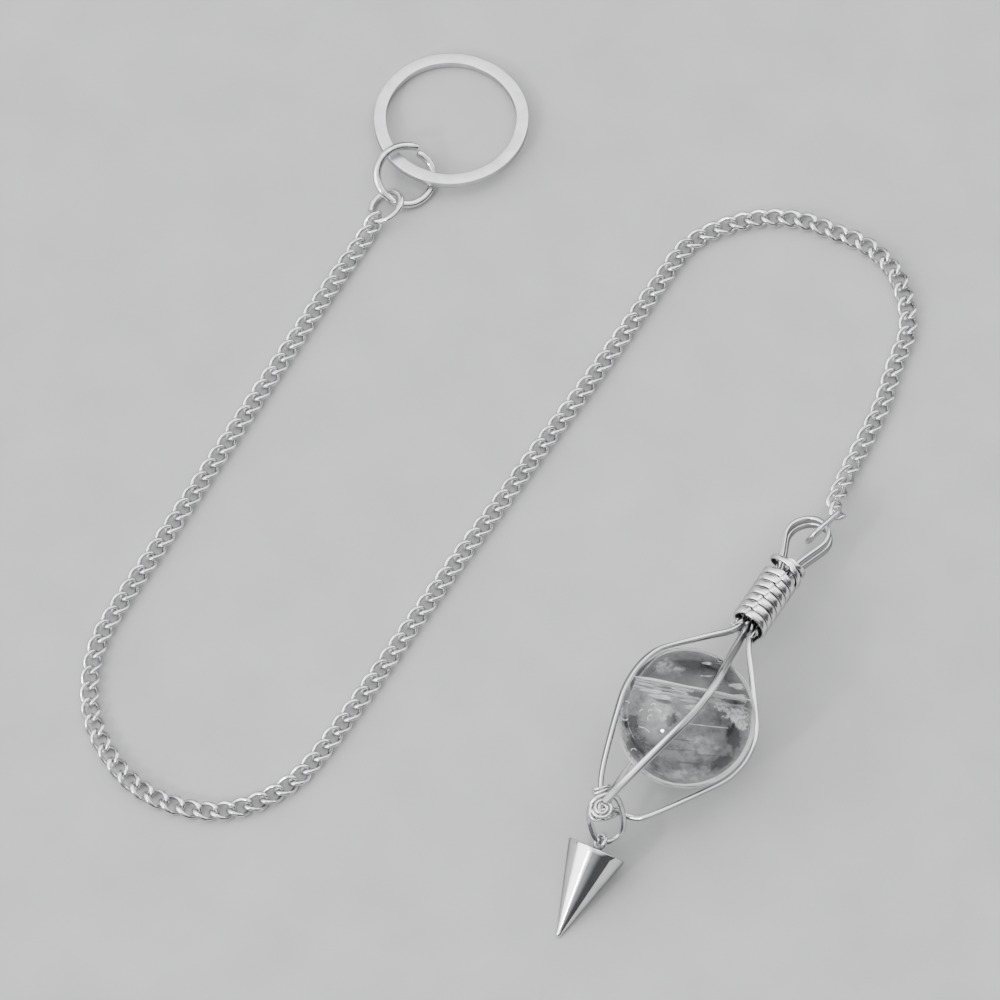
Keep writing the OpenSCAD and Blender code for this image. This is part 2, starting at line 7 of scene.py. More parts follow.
import bpy
import numpy as np
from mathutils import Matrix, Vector


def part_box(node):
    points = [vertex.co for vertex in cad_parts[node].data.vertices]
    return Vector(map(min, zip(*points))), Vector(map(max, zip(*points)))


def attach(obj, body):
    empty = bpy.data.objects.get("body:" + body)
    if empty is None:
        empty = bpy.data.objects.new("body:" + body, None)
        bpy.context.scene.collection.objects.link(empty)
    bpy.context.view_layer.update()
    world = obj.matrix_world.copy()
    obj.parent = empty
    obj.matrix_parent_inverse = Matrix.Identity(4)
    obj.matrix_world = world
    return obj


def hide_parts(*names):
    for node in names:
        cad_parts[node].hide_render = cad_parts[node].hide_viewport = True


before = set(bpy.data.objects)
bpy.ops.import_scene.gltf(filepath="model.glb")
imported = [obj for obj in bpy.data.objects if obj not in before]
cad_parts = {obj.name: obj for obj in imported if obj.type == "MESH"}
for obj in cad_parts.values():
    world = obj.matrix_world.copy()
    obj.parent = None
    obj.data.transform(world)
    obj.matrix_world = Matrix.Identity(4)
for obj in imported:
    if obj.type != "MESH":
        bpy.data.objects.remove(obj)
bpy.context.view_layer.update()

# Sizes and places are in millimetres, as in the part's source, until MM turns them into metres.
# Angles are in degrees.
MM = 0.001
UP = np.array([0.0, 0.0, 1.0])


def sind(a):
    return math.sin(math.radians(a))


def cosd(a):
    return math.cos(math.radians(a))


def unit(a):
    return a / np.linalg.norm(a)


def mix(a, b, t):
    return a * (1 - t) + b * t


def smooth(t):
    """Eases t from 0 to 1, held at both ends."""
    t = min(1, max(0, t))
    return t * t * (3 - 2 * t)


def compass(heading, slope):
    """Direction towards a heading, counted from X to Y, that slopes down."""
    return np.array([cosd(slope) * cosd(heading), cosd(slope) * sind(heading), -sind(slope)])


def left_of(heading):
    return np.array([-sind(heading), cosd(heading), 0])


def roll_to(v, along, left):
    """Angle about a direction from its left to v."""
    return math.degrees(math.atan2(v @ np.cross(along, left), v @ left))


def turn(roll, slope, heading):
    """Matrix that rolls about X, then slopes down about Y, then turns to a compass heading."""
    rx = np.array([[1, 0, 0], [0, cosd(roll), -sind(roll)], [0, sind(roll), cosd(roll)]])
    ry = np.array([[cosd(slope), 0, sind(slope)], [0, 1, 0], [-sind(slope), 0, cosd(slope)]])
    rz = np.array([[cosd(heading), -sind(heading), 0], [sind(heading), cosd(heading), 0], [0, 0, 1]])
    return rz @ ry @ rx


def placed(points, at, matrix):
    return [at + matrix @ p for p in points]


# The part's own sizes: ball and cage wire, tail and knot
BALL_D, BALL_GAP = 20, 0.16
WIRE_W, WIRE_T, WIRE_GAP, WIRE_BEVEL = 1.1, 0.75, 0.14, 0.05
TAIL_L, TAIL_SWING, KNOT_Z, TAIL_END = 7.2, 10.9, 10.85, 2.2
WRAP_D, SCROLL_R = 0.45, 1.75
# Coil, wire ends in its mouth, and hanging loop
COIL_TURNS, COIL_W, COIL_T, COIL_GAP, COIL_CLEAR, COIL_STAND = 8, 1.22, 0.75, 0.12, 0.6, 7.3
STUB_D, STUB_OUT = 0.6, 0.9
LOOP_D, LOOP_NECK, LOOP_ROLL = 7.2, 7.4, 20
# Chain link, key ring, the two jump rings and the connector
LINK_L, LINK_W, LINK_WIRE, LINK_TWIST, LINK_SLACK = 4.04, 3, 0.68, 55, 0.22
KEY_D, KEY_BAND, KEY_T, KEY_BEVEL, KEY_LIFT = 23.5, 1.85, 1.2, 0.15, 0.85
LARGE_D, LARGE_WIRE, LARGE_TILT, LARGE_SLACK = 10, 1.2, 23, 1.8
SMALL_D, SMALL_WIRE, SMALL_TILT, SMALL_SLACK = 6.3, 0.95, 32, 0.26
CONN_WIRE, CONN_SIDE, CONN_STRAIGHT, CONN_SLOPE = 0.75, 0.55, 2.6, 18
# Bottom ring and cone drop with its eye
OVAL_WIRE, OVAL_W, OVAL_L = 0.85, 5.7, 10.2
CONE_D, CONE_L, CONE_TIP_D, CONE_BEVEL = 8.7, 13.6, 0.5, 0.2
EYE_WIRE, EYE_CLEAR, EYE_SUNK = 0.7, 0.25, 0.15
# Places and headings in the layout
BALL_X, BALL_Y, NECK_HEADING, NECK_SLOPE = 26.3, -38.2, 58.5, 9
OVAL_HEADING, CONE_HEADING = 292, 244.5
KEY_X, KEY_Y, LARGE_HEADING, SMALL_HEADING = -7.4, 61.7, 235, 239.5
CHAIN_ROUTE = [
    (-26.8, 31.5), (-34.3, 18.8), (-41.5, 6.5), (-48.5, -5.5), (-55, -16.5), (-58, -22.5),
    (-59.1, -28.5), (-58.7, -34), (-56.7, -39), (-53, -44), (-48, -47.2), (-41.5, -48.7),
    (-35.5, -47.6), (-30.3, -44.7), (-26.5, -40.8), (-20, -31.4), (-12.2, -19.2), (-5.5, -9),
    (0, -1), (5.3, 7), (12.3, 17.2), (19, 27.3), (24.3, 35.6), (28, 40.8), (32.8, 43.8),
    (39, 45.5), (45, 45.2), (50, 43.3), (55, 40.8), (58.8, 36.7), (60.5, 31.5), (60.5, 26.5),
    (58.6, 21.5), (56.4, 14.8), (53.3, 8.3), (51.4, 4.5), (49.9, 1.1), (48.8, -1.8)]

# The frame gives the ball's middle, and with it the shift from the layout to the part's frame
ball_lo, ball_hi = (np.array(c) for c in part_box("crystal_ball"))
ball_centre = (ball_lo + ball_hi) / 2
ball_at = np.array([BALL_X, BALL_Y, ball_centre[2] / MM])
shift = ball_centre - ball_at * MM

# Where the camera stands, and the view's right, up and near directions at the ball
PHOTO_PIXELS, PHOTO_FOCAL, CAMERA_ELEVATION, CAMERA_DISTANCE = 1000, 5100, 67, 748
looked_at = np.array([shift[0], shift[1], 0]) / MM
camera_at = looked_at + CAMERA_DISTANCE * np.array([0, -cosd(CAMERA_ELEVATION), sind(CAMERA_ELEVATION)])
near = unit(camera_at - ball_centre / MM)
view_right = unit(np.cross(np.array([0, sind(CAMERA_ELEVATION), cosd(CAMERA_ELEVATION)]), near))
view_up = np.cross(near, view_right)


# Meshes, each as a list of points and a list of faces

SHARP_ANGLE = 40


def in_scene(name, data):
    piece = bpy.data.objects.new(name, data)
    bpy.context.scene.collection.objects.link(piece)
    return piece


def new_piece(name, shape, material, node=None, laid_out=True):
    """Mesh piece that rides on the root, takes a slot's finish and may stand for a node. Its points
    are in the layout, or else count from the ball's middle."""
    mesh = bpy.data.meshes.new(name)
    origin = shift if laid_out else ball_centre
    mesh.from_pydata([tuple(origin + np.asarray(p) * MM) for p in shape[0]], [], shape[1])
    mesh.validate()
    mesh.polygons.foreach_set("use_smooth", [True] * len(mesh.polygons))
    mesh.set_sharp_from_angle(angle=math.radians(SHARP_ANGLE))
    mesh.materials.append(material)
    piece = in_scene(name, mesh)
    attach(piece, "root")
    if node:
        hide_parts(node)
    return piece


def gathered(shapes):
    """Several shapes as one."""
    points, faces = [], []
    for more_points, more_faces in shapes:
        faces += [tuple(len(points) + i for i in face) for face in more_faces]
        points += more_points
    return points, faces


def tube_faces(rings, sides, closed):
    """Faces of a tube whose rings follow each other; an open one gets flat caps."""
    faces = []
    for i in range(rings if closed else rings - 1):
        a, b = i * sides, (i + 1) % rings * sides
        faces += [(a + j, a + (j + 1) % sides, b + (j + 1) % sides, b + j) for j in range(sides)]
    if not closed:
        last = (rings - 1) * sides
        faces += [tuple(sides - 1 - j for j in range(sides)), tuple(last + j for j in range(sides))]
    return faces


def bulge(c, power):
    """A sine or cosine whose curve is fuller, for a power under 1."""
    return math.copysign(abs(c) ** power, c)


def flat_section(w, t, points=20, power=3.2):
    """Rounded flat wire section, as (across, out) from its middle."""
    return [(w / 2 * bulge(cosd(a), 2 / power), t / 2 * bulge(sind(a), 2 / power))
            for a in (360 * k / points for k in range(points))]


def round_section(d, points=14):
    return flat_section(d, d, points, 2)


def tube(path, across, section, closed=False, scale=None):
    """A section swept along a path, each ring lying across it and scaled by its own number."""
    n = len(path)
    points = []
    for i in range(n):
        ahead = path[(i + 1) % n] if closed else path[min(i + 1, n - 1)]
        behind = path[i - 1] if closed else path[max(i - 1, 0)]
        along = unit(ahead - behind)
        out = unit(np.cross(across[i], along))
        side = np.cross(along, out)
        k = scale[i] if scale else 1
        points += [path[i] + k * (side * s[0] + out * s[1]) for s in section]
    return points, tube_faces(n, len(section), closed)


def spun(profile, steps):
    """An open profile, as (radius, x), turned about X; its first and last points lie on the axis."""
    rings = profile[1:-1]
    points = [np.array([profile[0][1], 0.0, 0.0])]
    for r, x in rings:
        points += [np.array([x, r * cosd(360 * j / steps), r * sind(360 * j / steps)]) for j in range(steps)]
    points.append(np.array([profile[-1][1], 0.0, 0.0]))
    faces = [(0, 1 + (j + 1) % steps, 1 + j) for j in range(steps)]
    for i in range(len(rings) - 1):
        a, b = 1 + i * steps, 1 + (i + 1) * steps
        faces += [(a + j, a + (j + 1) % steps, b + (j + 1) % steps, b + j) for j in range(steps)]
    last, tip = 1 + (len(rings) - 1) * steps, len(points) - 1
    faces += [(last + j, last + (j + 1) % steps, tip) for j in range(steps)]
    return points, faces


def refined(path, across, steps):
    """The path and its across vectors on a smooth curve through the same points."""
    p = [2 * path[0] - path[1], *path, 2 * path[-1] - path[-2]]
    fine, wide = [], []
    for i in range(1, len(p) - 2):
        p0, p1, p2, p3 = p[i - 1:i + 3]
        t1 = np.linalg.norm(p1 - p0) ** 0.5
        t2 = t1 + np.linalg.norm(p2 - p1) ** 0.5
        t3 = t2 + np.linalg.norm(p3 - p2) ** 0.5
        for k in range(steps):
            t = mix(t1, t2, k / steps)
            a1 = (t1 - t) / t1 * p0 + t / t1 * p1
            a2 = (t2 - t) / (t2 - t1) * p1 + (t - t1) / (t2 - t1) * p2
            a3 = (t3 - t) / (t3 - t2) * p2 + (t - t2) / (t3 - t2) * p3
            b1 = (t2 - t) / t2 * a1 + t / t2 * a2
            b2 = (t3 - t) / (t3 - t1) * a2 + (t - t1) / (t3 - t1) * a3
            fine.append((t2 - t) / (t2 - t1) * b1 + (t - t1) / (t2 - t1) * b2)
            wide.append(unit(mix(across[i - 1], across[i], k / steps)))
    return fine + [path[-1]], wide + [across[-1]]


def eased(path, passes=12):
    """The same path with its corners eased; its two ends stay."""
    p = np.array(path)
    for _ in range(passes):
        p[1:-1] = (p[:-2] + 2 * p[1:-1] + p[2:]) / 4
    return list(p)


def end_taper(count, rings=3, least=0.82):
    """Scale of each ring of an open wire, a little smaller at its two cut ends."""
    edges = [min(i, count - 1 - i) / rings for i in range(count)]
    return [1 if edge >= 1 else least + (1 - least) * sind(90 * edge) for edge in edges]


# Nodes of the finishes and of the surroundings

def fill(node, sockets):
    """Sets inputs, by name or number, each to a value or to another node's output."""
    for key, value in sockets.items():
        if isinstance(value, bpy.types.NodeSocket):
            node.id_data.links.new(value, node.inputs[key])
        else:
            node.inputs[key].default_value = value
    return node


def add(tree, kind, sockets, **settings):
    node = tree.nodes.new("ShaderNode" + kind)
    for key, value in settings.items():
        setattr(node, key, value)
    return fill(node, sockets)


def coordinates(tree, kind):
    return add(tree, "TexCoord", {}).outputs[kind]


def stretched(tree, place, scale):
    """Coordinates on which a noise runs in streaks."""
    return add(tree, "Mapping", {"Vector": place, "Scale": scale}).outputs["Vector"]


def cloudy(tree, place, scale, detail, roughness=0.5):
    sockets = {"Vector": place, "Scale": scale, "Detail": detail, "Roughness": roughness}
    return add(tree, "TexNoise", sockets).outputs["Fac"]


def ranged(tree, value, from_min, from_max, to_min, to_max, kind="LINEAR"):
    """A value carried from one range to another, and held at its ends."""
    sockets = {"Value": value, "From Min": from_min, "From Max": from_max, "To Min": to_min, "To Max": to_max}
    return add(tree, "MapRange", sockets, interpolation_type=kind).outputs["Result"]


def toned(tree, value, *stops):
    """A value turned into a colour that runs between two stops, each (value, colour)."""
    node = add(tree, "ValToRGB", {"Fac": value})
    for element, (place, colour) in zip(node.color_ramp.elements, stops):
        element.position = place
        element.color = (*colour, 1)
    return node.outputs["Color"]


def calc(tree, operation, *values):
    return add(tree, "Math", dict(enumerate(values)), operation=operation).outputs["Value"]


def new_material(name):
    material = bpy.data.materials.new(name)
    material.use_nodes = True
    return material, material.node_tree, material.node_tree.nodes["Principled BSDF"]


def grey(tone, blue=0.0):
    """A grey, a little bluer or warmer by blue."""
    return tone, tone, tone + blue


# Finishes

METAL_EDGE = (0.3, 0.3, 0.3, 1)
MARK_DEPTH = 0.02


def metal(name, dark, light, rough, scale=900, bump=0.1):
    """Metal with a cloudy tone, uneven polish, fine handling marks and edges darker than its face."""
    material, tree, shader = new_material(name)
    place = coordinates(tree, "Object")
    cloud = cloudy(tree, place, scale, 4, 0.55)
    grain = cloudy(tree, place, scale * 5, 3)
    relief = add(tree, "Bump", {"Height": grain, "Strength": bump, "Distance": MARK_DEPTH * MM})
    fill(shader, {"Metallic": 1, "Specular Tint": METAL_EDGE, "Normal": relief.outputs["Normal"],
                  "Base Color": toned(tree, cloud, (0.3, dark), (0.68, light)),
                  "Roughness": ranged(tree, grain, 0.3, 0.75, *rough)})
    return material


def drawn_metal(name, dark, light, rough, painted_face_shade):
    """Flat drawn wire: lines run along it, and painted shade makes its two flat faces darker than its edges.
    """
    material, tree, shader = new_material(name)
    uv = coordinates(tree, "UV")
    lines = cloudy(tree, stretched(tree, uv, (5, 9, 1)), 3, 4, 0.65)
    tone = toned(tree, lines, (0.35, dark), (0.65, light))
    around = add(tree, "SeparateXYZ", {"Vector": uv}).outputs["Y"]
    edge = calc(tree, "ABSOLUTE", calc(tree, "COSINE", calc(tree, "MULTIPLY", around, 2 * math.pi)))
    # Painted shade: the two flat faces are darkened to the last argument's share of the tone, and the edges
    # keep the full tone.
    faces_darkened = ranged(tree, edge, 0.45, 0.85, painted_face_shade, 1)
    shaded_tone = add(tree, "VectorMath", {0: tone, "Scale": faces_darkened}, operation="SCALE")
    fill(shader, {"Metallic": 1, "Specular Tint": METAL_EDGE, "Base Color": shaded_tone.outputs["Vector"],
                  "Roughness": ranged(tree, lines, 0.3, 0.7, *rough)})
    return material


# The last number is the share of tone left on the flat faces under the painted shade.
drawn_wire = drawn_metal("drawn_wire", grey(0.6, 0.005), grey(0.95, 0.005), (0.1, 0.3), 0.5)
bright_wire = metal("bright_wire", grey(0.56, 0.005), grey(0.88, 0.005), (0.1, 0.28))
coil_metal = metal("coil_metal", grey(0.66, 0.005), grey(0.94, 0.005), (0.14, 0.28), 700, 0.2)
# Near-black metal for the inner half of the coil's turns: painted shade, so the gaps between the turns look
# dark.
crevice_metal = metal("crevice_metal", grey(0.05, 0.002), grey(0.12, 0.005), (0.35, 0.5), 700, 0.2)
chain_metal = metal("chain_metal", grey(0.54, 0.005), grey(0.94, 0.005), (0.08, 0.22))
mirror_polish = metal("mirror_polish", grey(0.66, 0.01), grey(0.84, 0.01), (0.05, 0.12), 300, 0.03)
base_polish = metal("base_polish", grey(0.22, 0.01), grey(0.34, 0.01), (0.15, 0.3), 500)
satin_metal = metal("satin_metal", grey(0.6, 0.01), grey(0.74, 0.01), (0.3, 0.42), 500, 0.25)

QUARTZ_IOR = 1.544


def glass(name):
    """Clear quartz: polished, faintly grey, with a breath of unevenness in the polish."""
    material, tree, shader = new_material(name)
    haze = cloudy(tree, coordinates(tree, "Object"), 160, 3)
    fill(shader, {"Transmission Weight": 1, "IOR": QUARTZ_IOR,
                  "Base Color": toned(tree, haze, (0.35, (0.9, 0.905, 0.91)), (0.7, grey(0.985, 0.005))),
                  "Roughness": ranged(tree, haze, 0, 1, 0, 0.04)})
    return material


quartz = glass("quartz")


# Pendant frame, as in the part's source. Its points count from the ball's middle: u runs up the neck,
# v and w across it, and tail_u, tail_v and tail_w do the same for the tail below the ball.

neck_u = compass(NECK_HEADING, NECK_SLOPE)
neck_v = left_of(NECK_HEADING)
neck_w = np.cross(neck_u, neck_v)
wire_r = BALL_D / 2 + BALL_GAP + WIRE_T / 2


def about_neck(a):
    return neck_v * sind(a) + neck_w * cosd(a)


coil_start = BALL_D / 2 + COIL_STAND
coil_pitch = COIL_W + COIL_GAP
coil_end = coil_start + COIL_TURNS * coil_pitch
strand_v = (WIRE_T + WIRE_GAP) / 2
strand_w = (WIRE_W + WIRE_GAP) / 2
bundle_r = math.hypot(strand_v + WIRE_T / 2, strand_w + WIRE_W / 2)
coil_r = bundle_r + COIL_CLEAR + COIL_T / 2
side_dir = about_neck(90 + LOOP_ROLL)
face_dir = about_neck(LOOP_ROLL)


def strand_at(x, side, face):
    return neck_u * x + side_dir * side * strand_v + face_dir * face * strand_w


LOOP_STEPS = 12
loop_r = (LOOP_D - WIRE_T) / 2
loop_x = coil_end + LOOP_NECK
loop_arc = (180 - math.degrees(math.atan(strand_v / LOOP_NECK))
            - math.degrees(math.acos(loop_r / math.hypot(LOOP_NECK, strand_v))))


def loop_at(a):
    return neck_u * (loop_x + loop_r * cosd(a)) + side_dir * loop_r * sind(a)


def loop_path(face):
    return [loop_at(loop_arc * (1 - 2 * i / LOOP_STEPS)) + face_dir * face * strand_w
            for i in range(LOOP_STEPS + 1)]


tail_r = BALL_D / 2 + TAIL_L
tail_slope = math.degrees(math.asin((wire_r + WIRE_T / 2 - KNOT_Z) / tail_r))
tail_u = compass(NECK_HEADING + 180 - TAIL_SWING, tail_slope)
tail_v = unit(neck_v - tail_u * (neck_v @ tail_u))
tail_w = np.cross(tail_v, tail_u)
tail_side = (WIRE_W + WIRE_T) / 2 - WIRE_BEVEL
KNOT_TURN, KNOT_GAP = 55, 0.18
knot_u = tail_u * cosd(KNOT_TURN) - tail_v * sind(KNOT_TURN)
knot_v = tail_v * cosd(KNOT_TURN) + tail_u * sind(KNOT_TURN)
OVAL_BACK, OVAL_SIDE = 0.5, 0.3
oval_rise = WIRE_W / 2 + OVAL_WIRE + 2 * WIRE_GAP
scroll_rise = oval_rise + (OVAL_WIRE + WRAP_D) / 2 + KNOT_GAP
front_rise = scroll_rise + (WRAP_D + WIRE_T) / 2 + KNOT_GAP
FRONT_END, FRONT_SIDE, FRONT_RUN = 1.1, 0.4, 3
LEFT_BOW = [(-2.6, 3, 1.5), (-1.2, 1.7, 0.5)]
RIGHT_HOOK = [(1.8, 3.35, -0.9), (2.15, 2.15, -0.25), (2.2, 1.1, 0.55), (1.7, 0.15, 1.45),
              (0.4, -0.9, 1.6), (-0.6, -1.85, 1.75)]


def tail_dir(a):
    return tail_v * sind(a) + tail_w * cosd(a)


def knot_at(x, rise, a):
    return tail_u * tail_r + knot_u * x + (knot_v * sind(a) + tail_w * cosd(a)) * rise


left_bow = [tail_u * (tail_r + x) + tail_v * y + tail_w * z for x, y, z in LEFT_BOW]
left_out = left_bow + [knot_at(0, tail_side, 90), knot_at(TAIL_END, tail_side, 90)]
front_tip = knot_at(FRONT_END, front_rise, 0) + knot_v * FRONT_SIDE
front_out = [front_tip - tail_u * FRONT_RUN, front_tip]
back_out = [knot_at(0, tail_side, 180), knot_at(TAIL_END, tail_side, 180)]

# Bottom ring: from under the front cage wire down to the cone's eye
EYE_ANGLE, STEEPEST = 40, 0.98
cone_half = math.degrees(math.atan((CONE_D - CONE_TIP_D) / 2 / CONE_L))
eye_r = (OVAL_WIRE + EYE_WIRE) / 2 + EYE_CLEAR
eye_x = eye_r + EYE_WIRE / 2 - EYE_SUNK
cone_dir = compass(CONE_HEADING, cone_half)
cone_base_z = CONE_D / 2 * cosd(cone_half)
eye_z = cone_base_z + eye_x * sind(cone_half)
oval_r = (OVAL_W - OVAL_WIRE) / 2
oval_half = (OVAL_L - OVAL_WIRE) / 2
oval_top = ball_at + knot_at(-OVAL_BACK, oval_rise, 0) + knot_v * OVAL_SIDE
oval_reach = 2 * oval_half - oval_r + oval_r * cosd(EYE_ANGLE)
oval_slope = math.degrees(math.asin(min(STEEPEST, (oval_top[2] - eye_z) / oval_reach)))
oval_dir = compass(OVAL_HEADING, oval_slope)
oval_left = -left_of(OVAL_HEADING)
oval_behind = np.cross(oval_dir, oval_left)
oval_at = oval_top + oval_dir * oval_half
eye_at = oval_top + oval_dir * oval_reach + oval_left * oval_r * sind(EYE_ANGLE)
right_out = [oval_at - ball_at + oval_dir * x - oval_left * (oval_r + y) + oval_behind * z
             for x, y, z in RIGHT_HOOK]


# Cage: two wires of two ribs each. A rib's numbers are the angles at which it leaves the neck and
# meets the tail, and the direction that lies across it at the knot.

RIB_FRONT = (-13, -15, tail_v)
RIB_LEFT = (57, 56, tail_w)
RIB_BACK = (182, 160, knot_v)
RIB_RIGHT = (-103, -110, tail_w)
RIB_STEPS, LEAD_STEPS, WIRE_STEPS = 8, 3, 7


def turned(e, d, a):
    """Unit vector e turned towards d by an angle in radians."""
    return e * math.cos(a) + unit(d - e * (d @ e)) * math.sin(a)


def facing(n, d):
    return n if n @ d >= 0 else -n


def rib_arc(angles, p, q):
    """Directions from the ball's middle along a rib, which touches the ball between p and q."""
    e1, e2 = unit(p), unit(q)
    g1 = math.acos(wire_r / np.linalg.norm(p))
    g2 = math.acos(wire_r / np.linalg.norm(q))
    g = math.acos(e1 @ e2) - g1 - g2
    arc = []
    for i in range(RIB_STEPS + 1):
        t = i / RIB_STEPS
        upper = turned(e1, about_neck(angles[0]), g1 + g * t)
        lower = turned(e2, tail_dir(angles[1]), g2 + g * (1 - t))
        arc.append(unit(mix(upper, lower, smooth(t))))
    return arc


def rib(side, face, numbers, out):
    """One rib as (path, across): from the coil round the ball to the knot."""
    p = strand_at(coil_start - WIRE_T / 2, side, face)
    arc = rib_arc(numbers, p, out[0])
    path = ([strand_at(coil_end, side, face)]
            + [mix(p, wire_r * arc[0], i / LEAD_STEPS) for i in range(LEAD_STEPS)]
            + [wire_r * n for n in arc] + out)
    first = facing(unit(np.cross(arc[1] - arc[0], arc[0])), face_dir)
    over = [facing(unit(np.cross(arc[min(i + 1, RIB_STEPS)] - arc[max(i - 1, 0)], arc[i])), first)
            for i in range(RIB_STEPS + 1)]
    knot = facing(numbers[2], over[-1])
    last = len(out) - 1
    across = ([face_dir] + [unit(mix(face_dir, first, i / LEAD_STEPS)) for i in range(LEAD_STEPS)]
              + over + [unit(mix(over[-1], knot, min(1, (i + 1) / last))) for i in range(last + 1)])
    return path, across


def cage_wire(rib1, out1, rib2, out2, face):
    path1, across1 = rib(1, face, rib1, out1)
    path2, across2 = rib(-1, face, rib2, out2)
    return (path1[::-1] + loop_path(face) + path2,
            across1[::-1] + [face_dir] * (LOOP_STEPS + 1) + across2)


def open_wire(path, across, section):
    return tube(path, across, section, scale=end_taper(len(path)))


def wire_coordinates(piece, rings, sides):
    """How far along and how far around a wire each corner lies, for a finish that runs with it."""
    layer = piece.data.uv_layers.new(name="wire")
    for face in piece.data.polygons[:(rings - 1) * sides]:
        ring, side = divmod(face.index, sides)
        for loop, (ahead, around) in zip(face.loop_indices, ((0, 0), (0, 1), (1, 1), (1, 0))):
            layer.data[loop].uv = ((ring + ahead) / rings, (side + around) / sides)


cage_section = flat_section(WIRE_W, WIRE_T)
for node, wire in (("upper_cage_wire", cage_wire(RIB_LEFT, left_out, RIB_FRONT, front_out, 1)),
                   ("lower_cage_wire", cage_wire(RIB_BACK, back_out, RIB_RIGHT, right_out, -1))):
    path, across = refined(*wire, WIRE_STEPS)
    shape = open_wire(eased(path), across, cage_section)
    piece = new_piece("dressed_" + node, shape, drawn_wire, node, False)
    wire_coordinates(piece, len(path), len(cage_section))


# Coil: its last turn stands off and slants up the neck, and its end is tucked in round the strands.
# On the side that shows, each turn has a small jog, and each but the last a dent.

COIL_FROM, COIL_STEPS, COIL_SIDES, COIL_POWER, COIL_TRIM = 150, 144, 20, 2.9, 0.06
LOOSE_RISE, LOOSE_CURVE, LOOSE_SWELL, LOOSE_THIN = 1.9, 1.7, 0.3, 0.35
TUCK_TURNS, TUCK_R, TUCK_BACK = 0.62, 2.0, 0.9
SEAM, SEAM_DRIFT, SEAM_SWAY = 4, -5, 3
DENT, DENT_WIDE, JOG, JOG_QUICK, JOG_WIDE = 0.16, 2.8, 0.13, 4, 30
seam_at = math.degrees(math.atan2(near @ neck_v, near @ neck_w)) + SEAM


def coil_point(done):
    """Point after so many turns."""
    loose = min(1, max(0, done - COIL_TURNS + 1))
    tuck = smooth((done - COIL_TURNS) / TUCK_TURNS)
    x = (coil_start + COIL_W / 2 + min(done, COIL_TURNS) * coil_pitch + loose ** LOOSE_CURVE * LOOSE_RISE
         - TUCK_BACK * tuck)
    seam = seam_at + SEAM_DRIFT * (int(done) - COIL_TURNS / 2) + SEAM_SWAY * (-1) ** int(done)
    off = (360 * done + COIL_FROM - seam + 180) % 360 - 180
    dent = DENT * math.exp(-(off / DENT_WIDE) ** 2) if done < COIL_TURNS - 1 else 0
    jog = JOG * math.tanh(off / JOG_QUICK) * math.exp(-(off / JOG_WIDE) ** 2)
    r = mix(coil_r + LOOSE_SWELL * loose, TUCK_R, tuck) - dent
    return neck_u * (x + jog) + about_neck(360 * done + COIL_FROM) * r


coil_done = [i / COIL_STEPS for i in range(int(COIL_STEPS * (COIL_TURNS + TUCK_TURNS)) + 1)]
coil_scale = [k * (1 - LOOSE_THIN * smooth(done - COIL_TURNS + 1))
              for k, done in zip(end_taper(len(coil_done)), coil_done)]
coil_section = flat_section(COIL_W - COIL_TRIM, COIL_T, COIL_SIDES, COIL_POWER)
coil_shape = tube([coil_point(done) for done in coil_done], [neck_u] * len(coil_done), coil_section,
                  scale=coil_scale)
coil = new_piece("dressed_coil", coil_shape, coil_metal, "binding_coil", False)
# The inner half of each turn, which shows in the gaps between turns, takes the near-black metal: painted
# shade.
coil.data.materials.append(crevice_metal)
for face in coil.data.polygons[:(len(coil_done) - 1) * COIL_SIDES]:
    face.material_index = 1 if face.index % COIL_SIDES >= COIL_SIDES // 2 else 0


# Two cut wire ends in the coil's mouth, and short snipped bits of thinner wire round it

STUB_STEPS = 24
BITS, BIT_TURN, BIT_STEP, BIT_START, BIT_SIDES, BIT_FLAT = 14, 9, 0.3, 0.25, 10, 0.7
BIT_D, BIT_OUT, BIT_ASIDE = (0.34, 0.5), (-0.1, 0.5), (-0.6, 0.6)
BIT_DEEP, BIT_STRETCH = (0.35, 0.6), (0.95, 1.05)
stub_r = (strand_v + WIRE_T / 2 + coil_r - COIL_T / 2) / 2
stub_l = STUB_OUT + 2 * coil_pitch
stubs = []
for side in (90, -90):
    out = about_neck(LOOP_ROLL + side)
    path = [neck_u * (coil_start - STUB_OUT + stub_l * i / STUB_STEPS) + out * stub_r
            for i in range(STUB_STEPS + 1)]
    stubs.append(open_wire(path, [np.cross(neck_u, out)] * len(path), round_section(STUB_D)))
rng = random.Random(11)
for k in range(BITS):
    out = about_neck(360 * k / BITS + rng.uniform(-BIT_TURN, BIT_TURN))
    d = rng.uniform(*BIT_D)
    lean = unit(-neck_u + out * rng.uniform(*BIT_OUT) + np.cross(neck_u, out) * rng.uniform(*BIT_ASIDE))
    start = neck_u * (coil_start + BIT_START) + out * (coil_r - rng.uniform(*BIT_DEEP))
    path = [start + lean * rng.uniform(*BIT_STRETCH) * BIT_STEP * i for i in range(4 + k % 2)]
    stubs.append(tube(path, [np.cross(lean, out)] * len(path), flat_section(d, d * BIT_FLAT, BIT_SIDES)))
new_piece("dressed_stubs", gathered(stubs), bright_wire, "wire_stubs", False)


# Knot: thin wire wound round the ribs' ends, which then runs up into a flat scroll

WRAP_STEPS, WRAP_TURNS, WRAP_FROM, WRAP_FINE, WRAP_HUG = 12, 1.5, 1.1, 5, 0.35
SCROLL_TURNS, SCROLL_AT, SCROLL_SIDE, TURN_STEPS = 1.75, 1.5, 0.7, 3
wrap_r = math.hypot(tail_side + WIRE_T / 2, WIRE_W * WRAP_HUG) + WIRE_GAP + WRAP_D / 2
wrap_pitch = WRAP_D + WIRE_GAP
scroll_middle = tail_u * tail_r + knot_u * SCROLL_AT + knot_v * SCROLL_SIDE + tail_w * scroll_rise


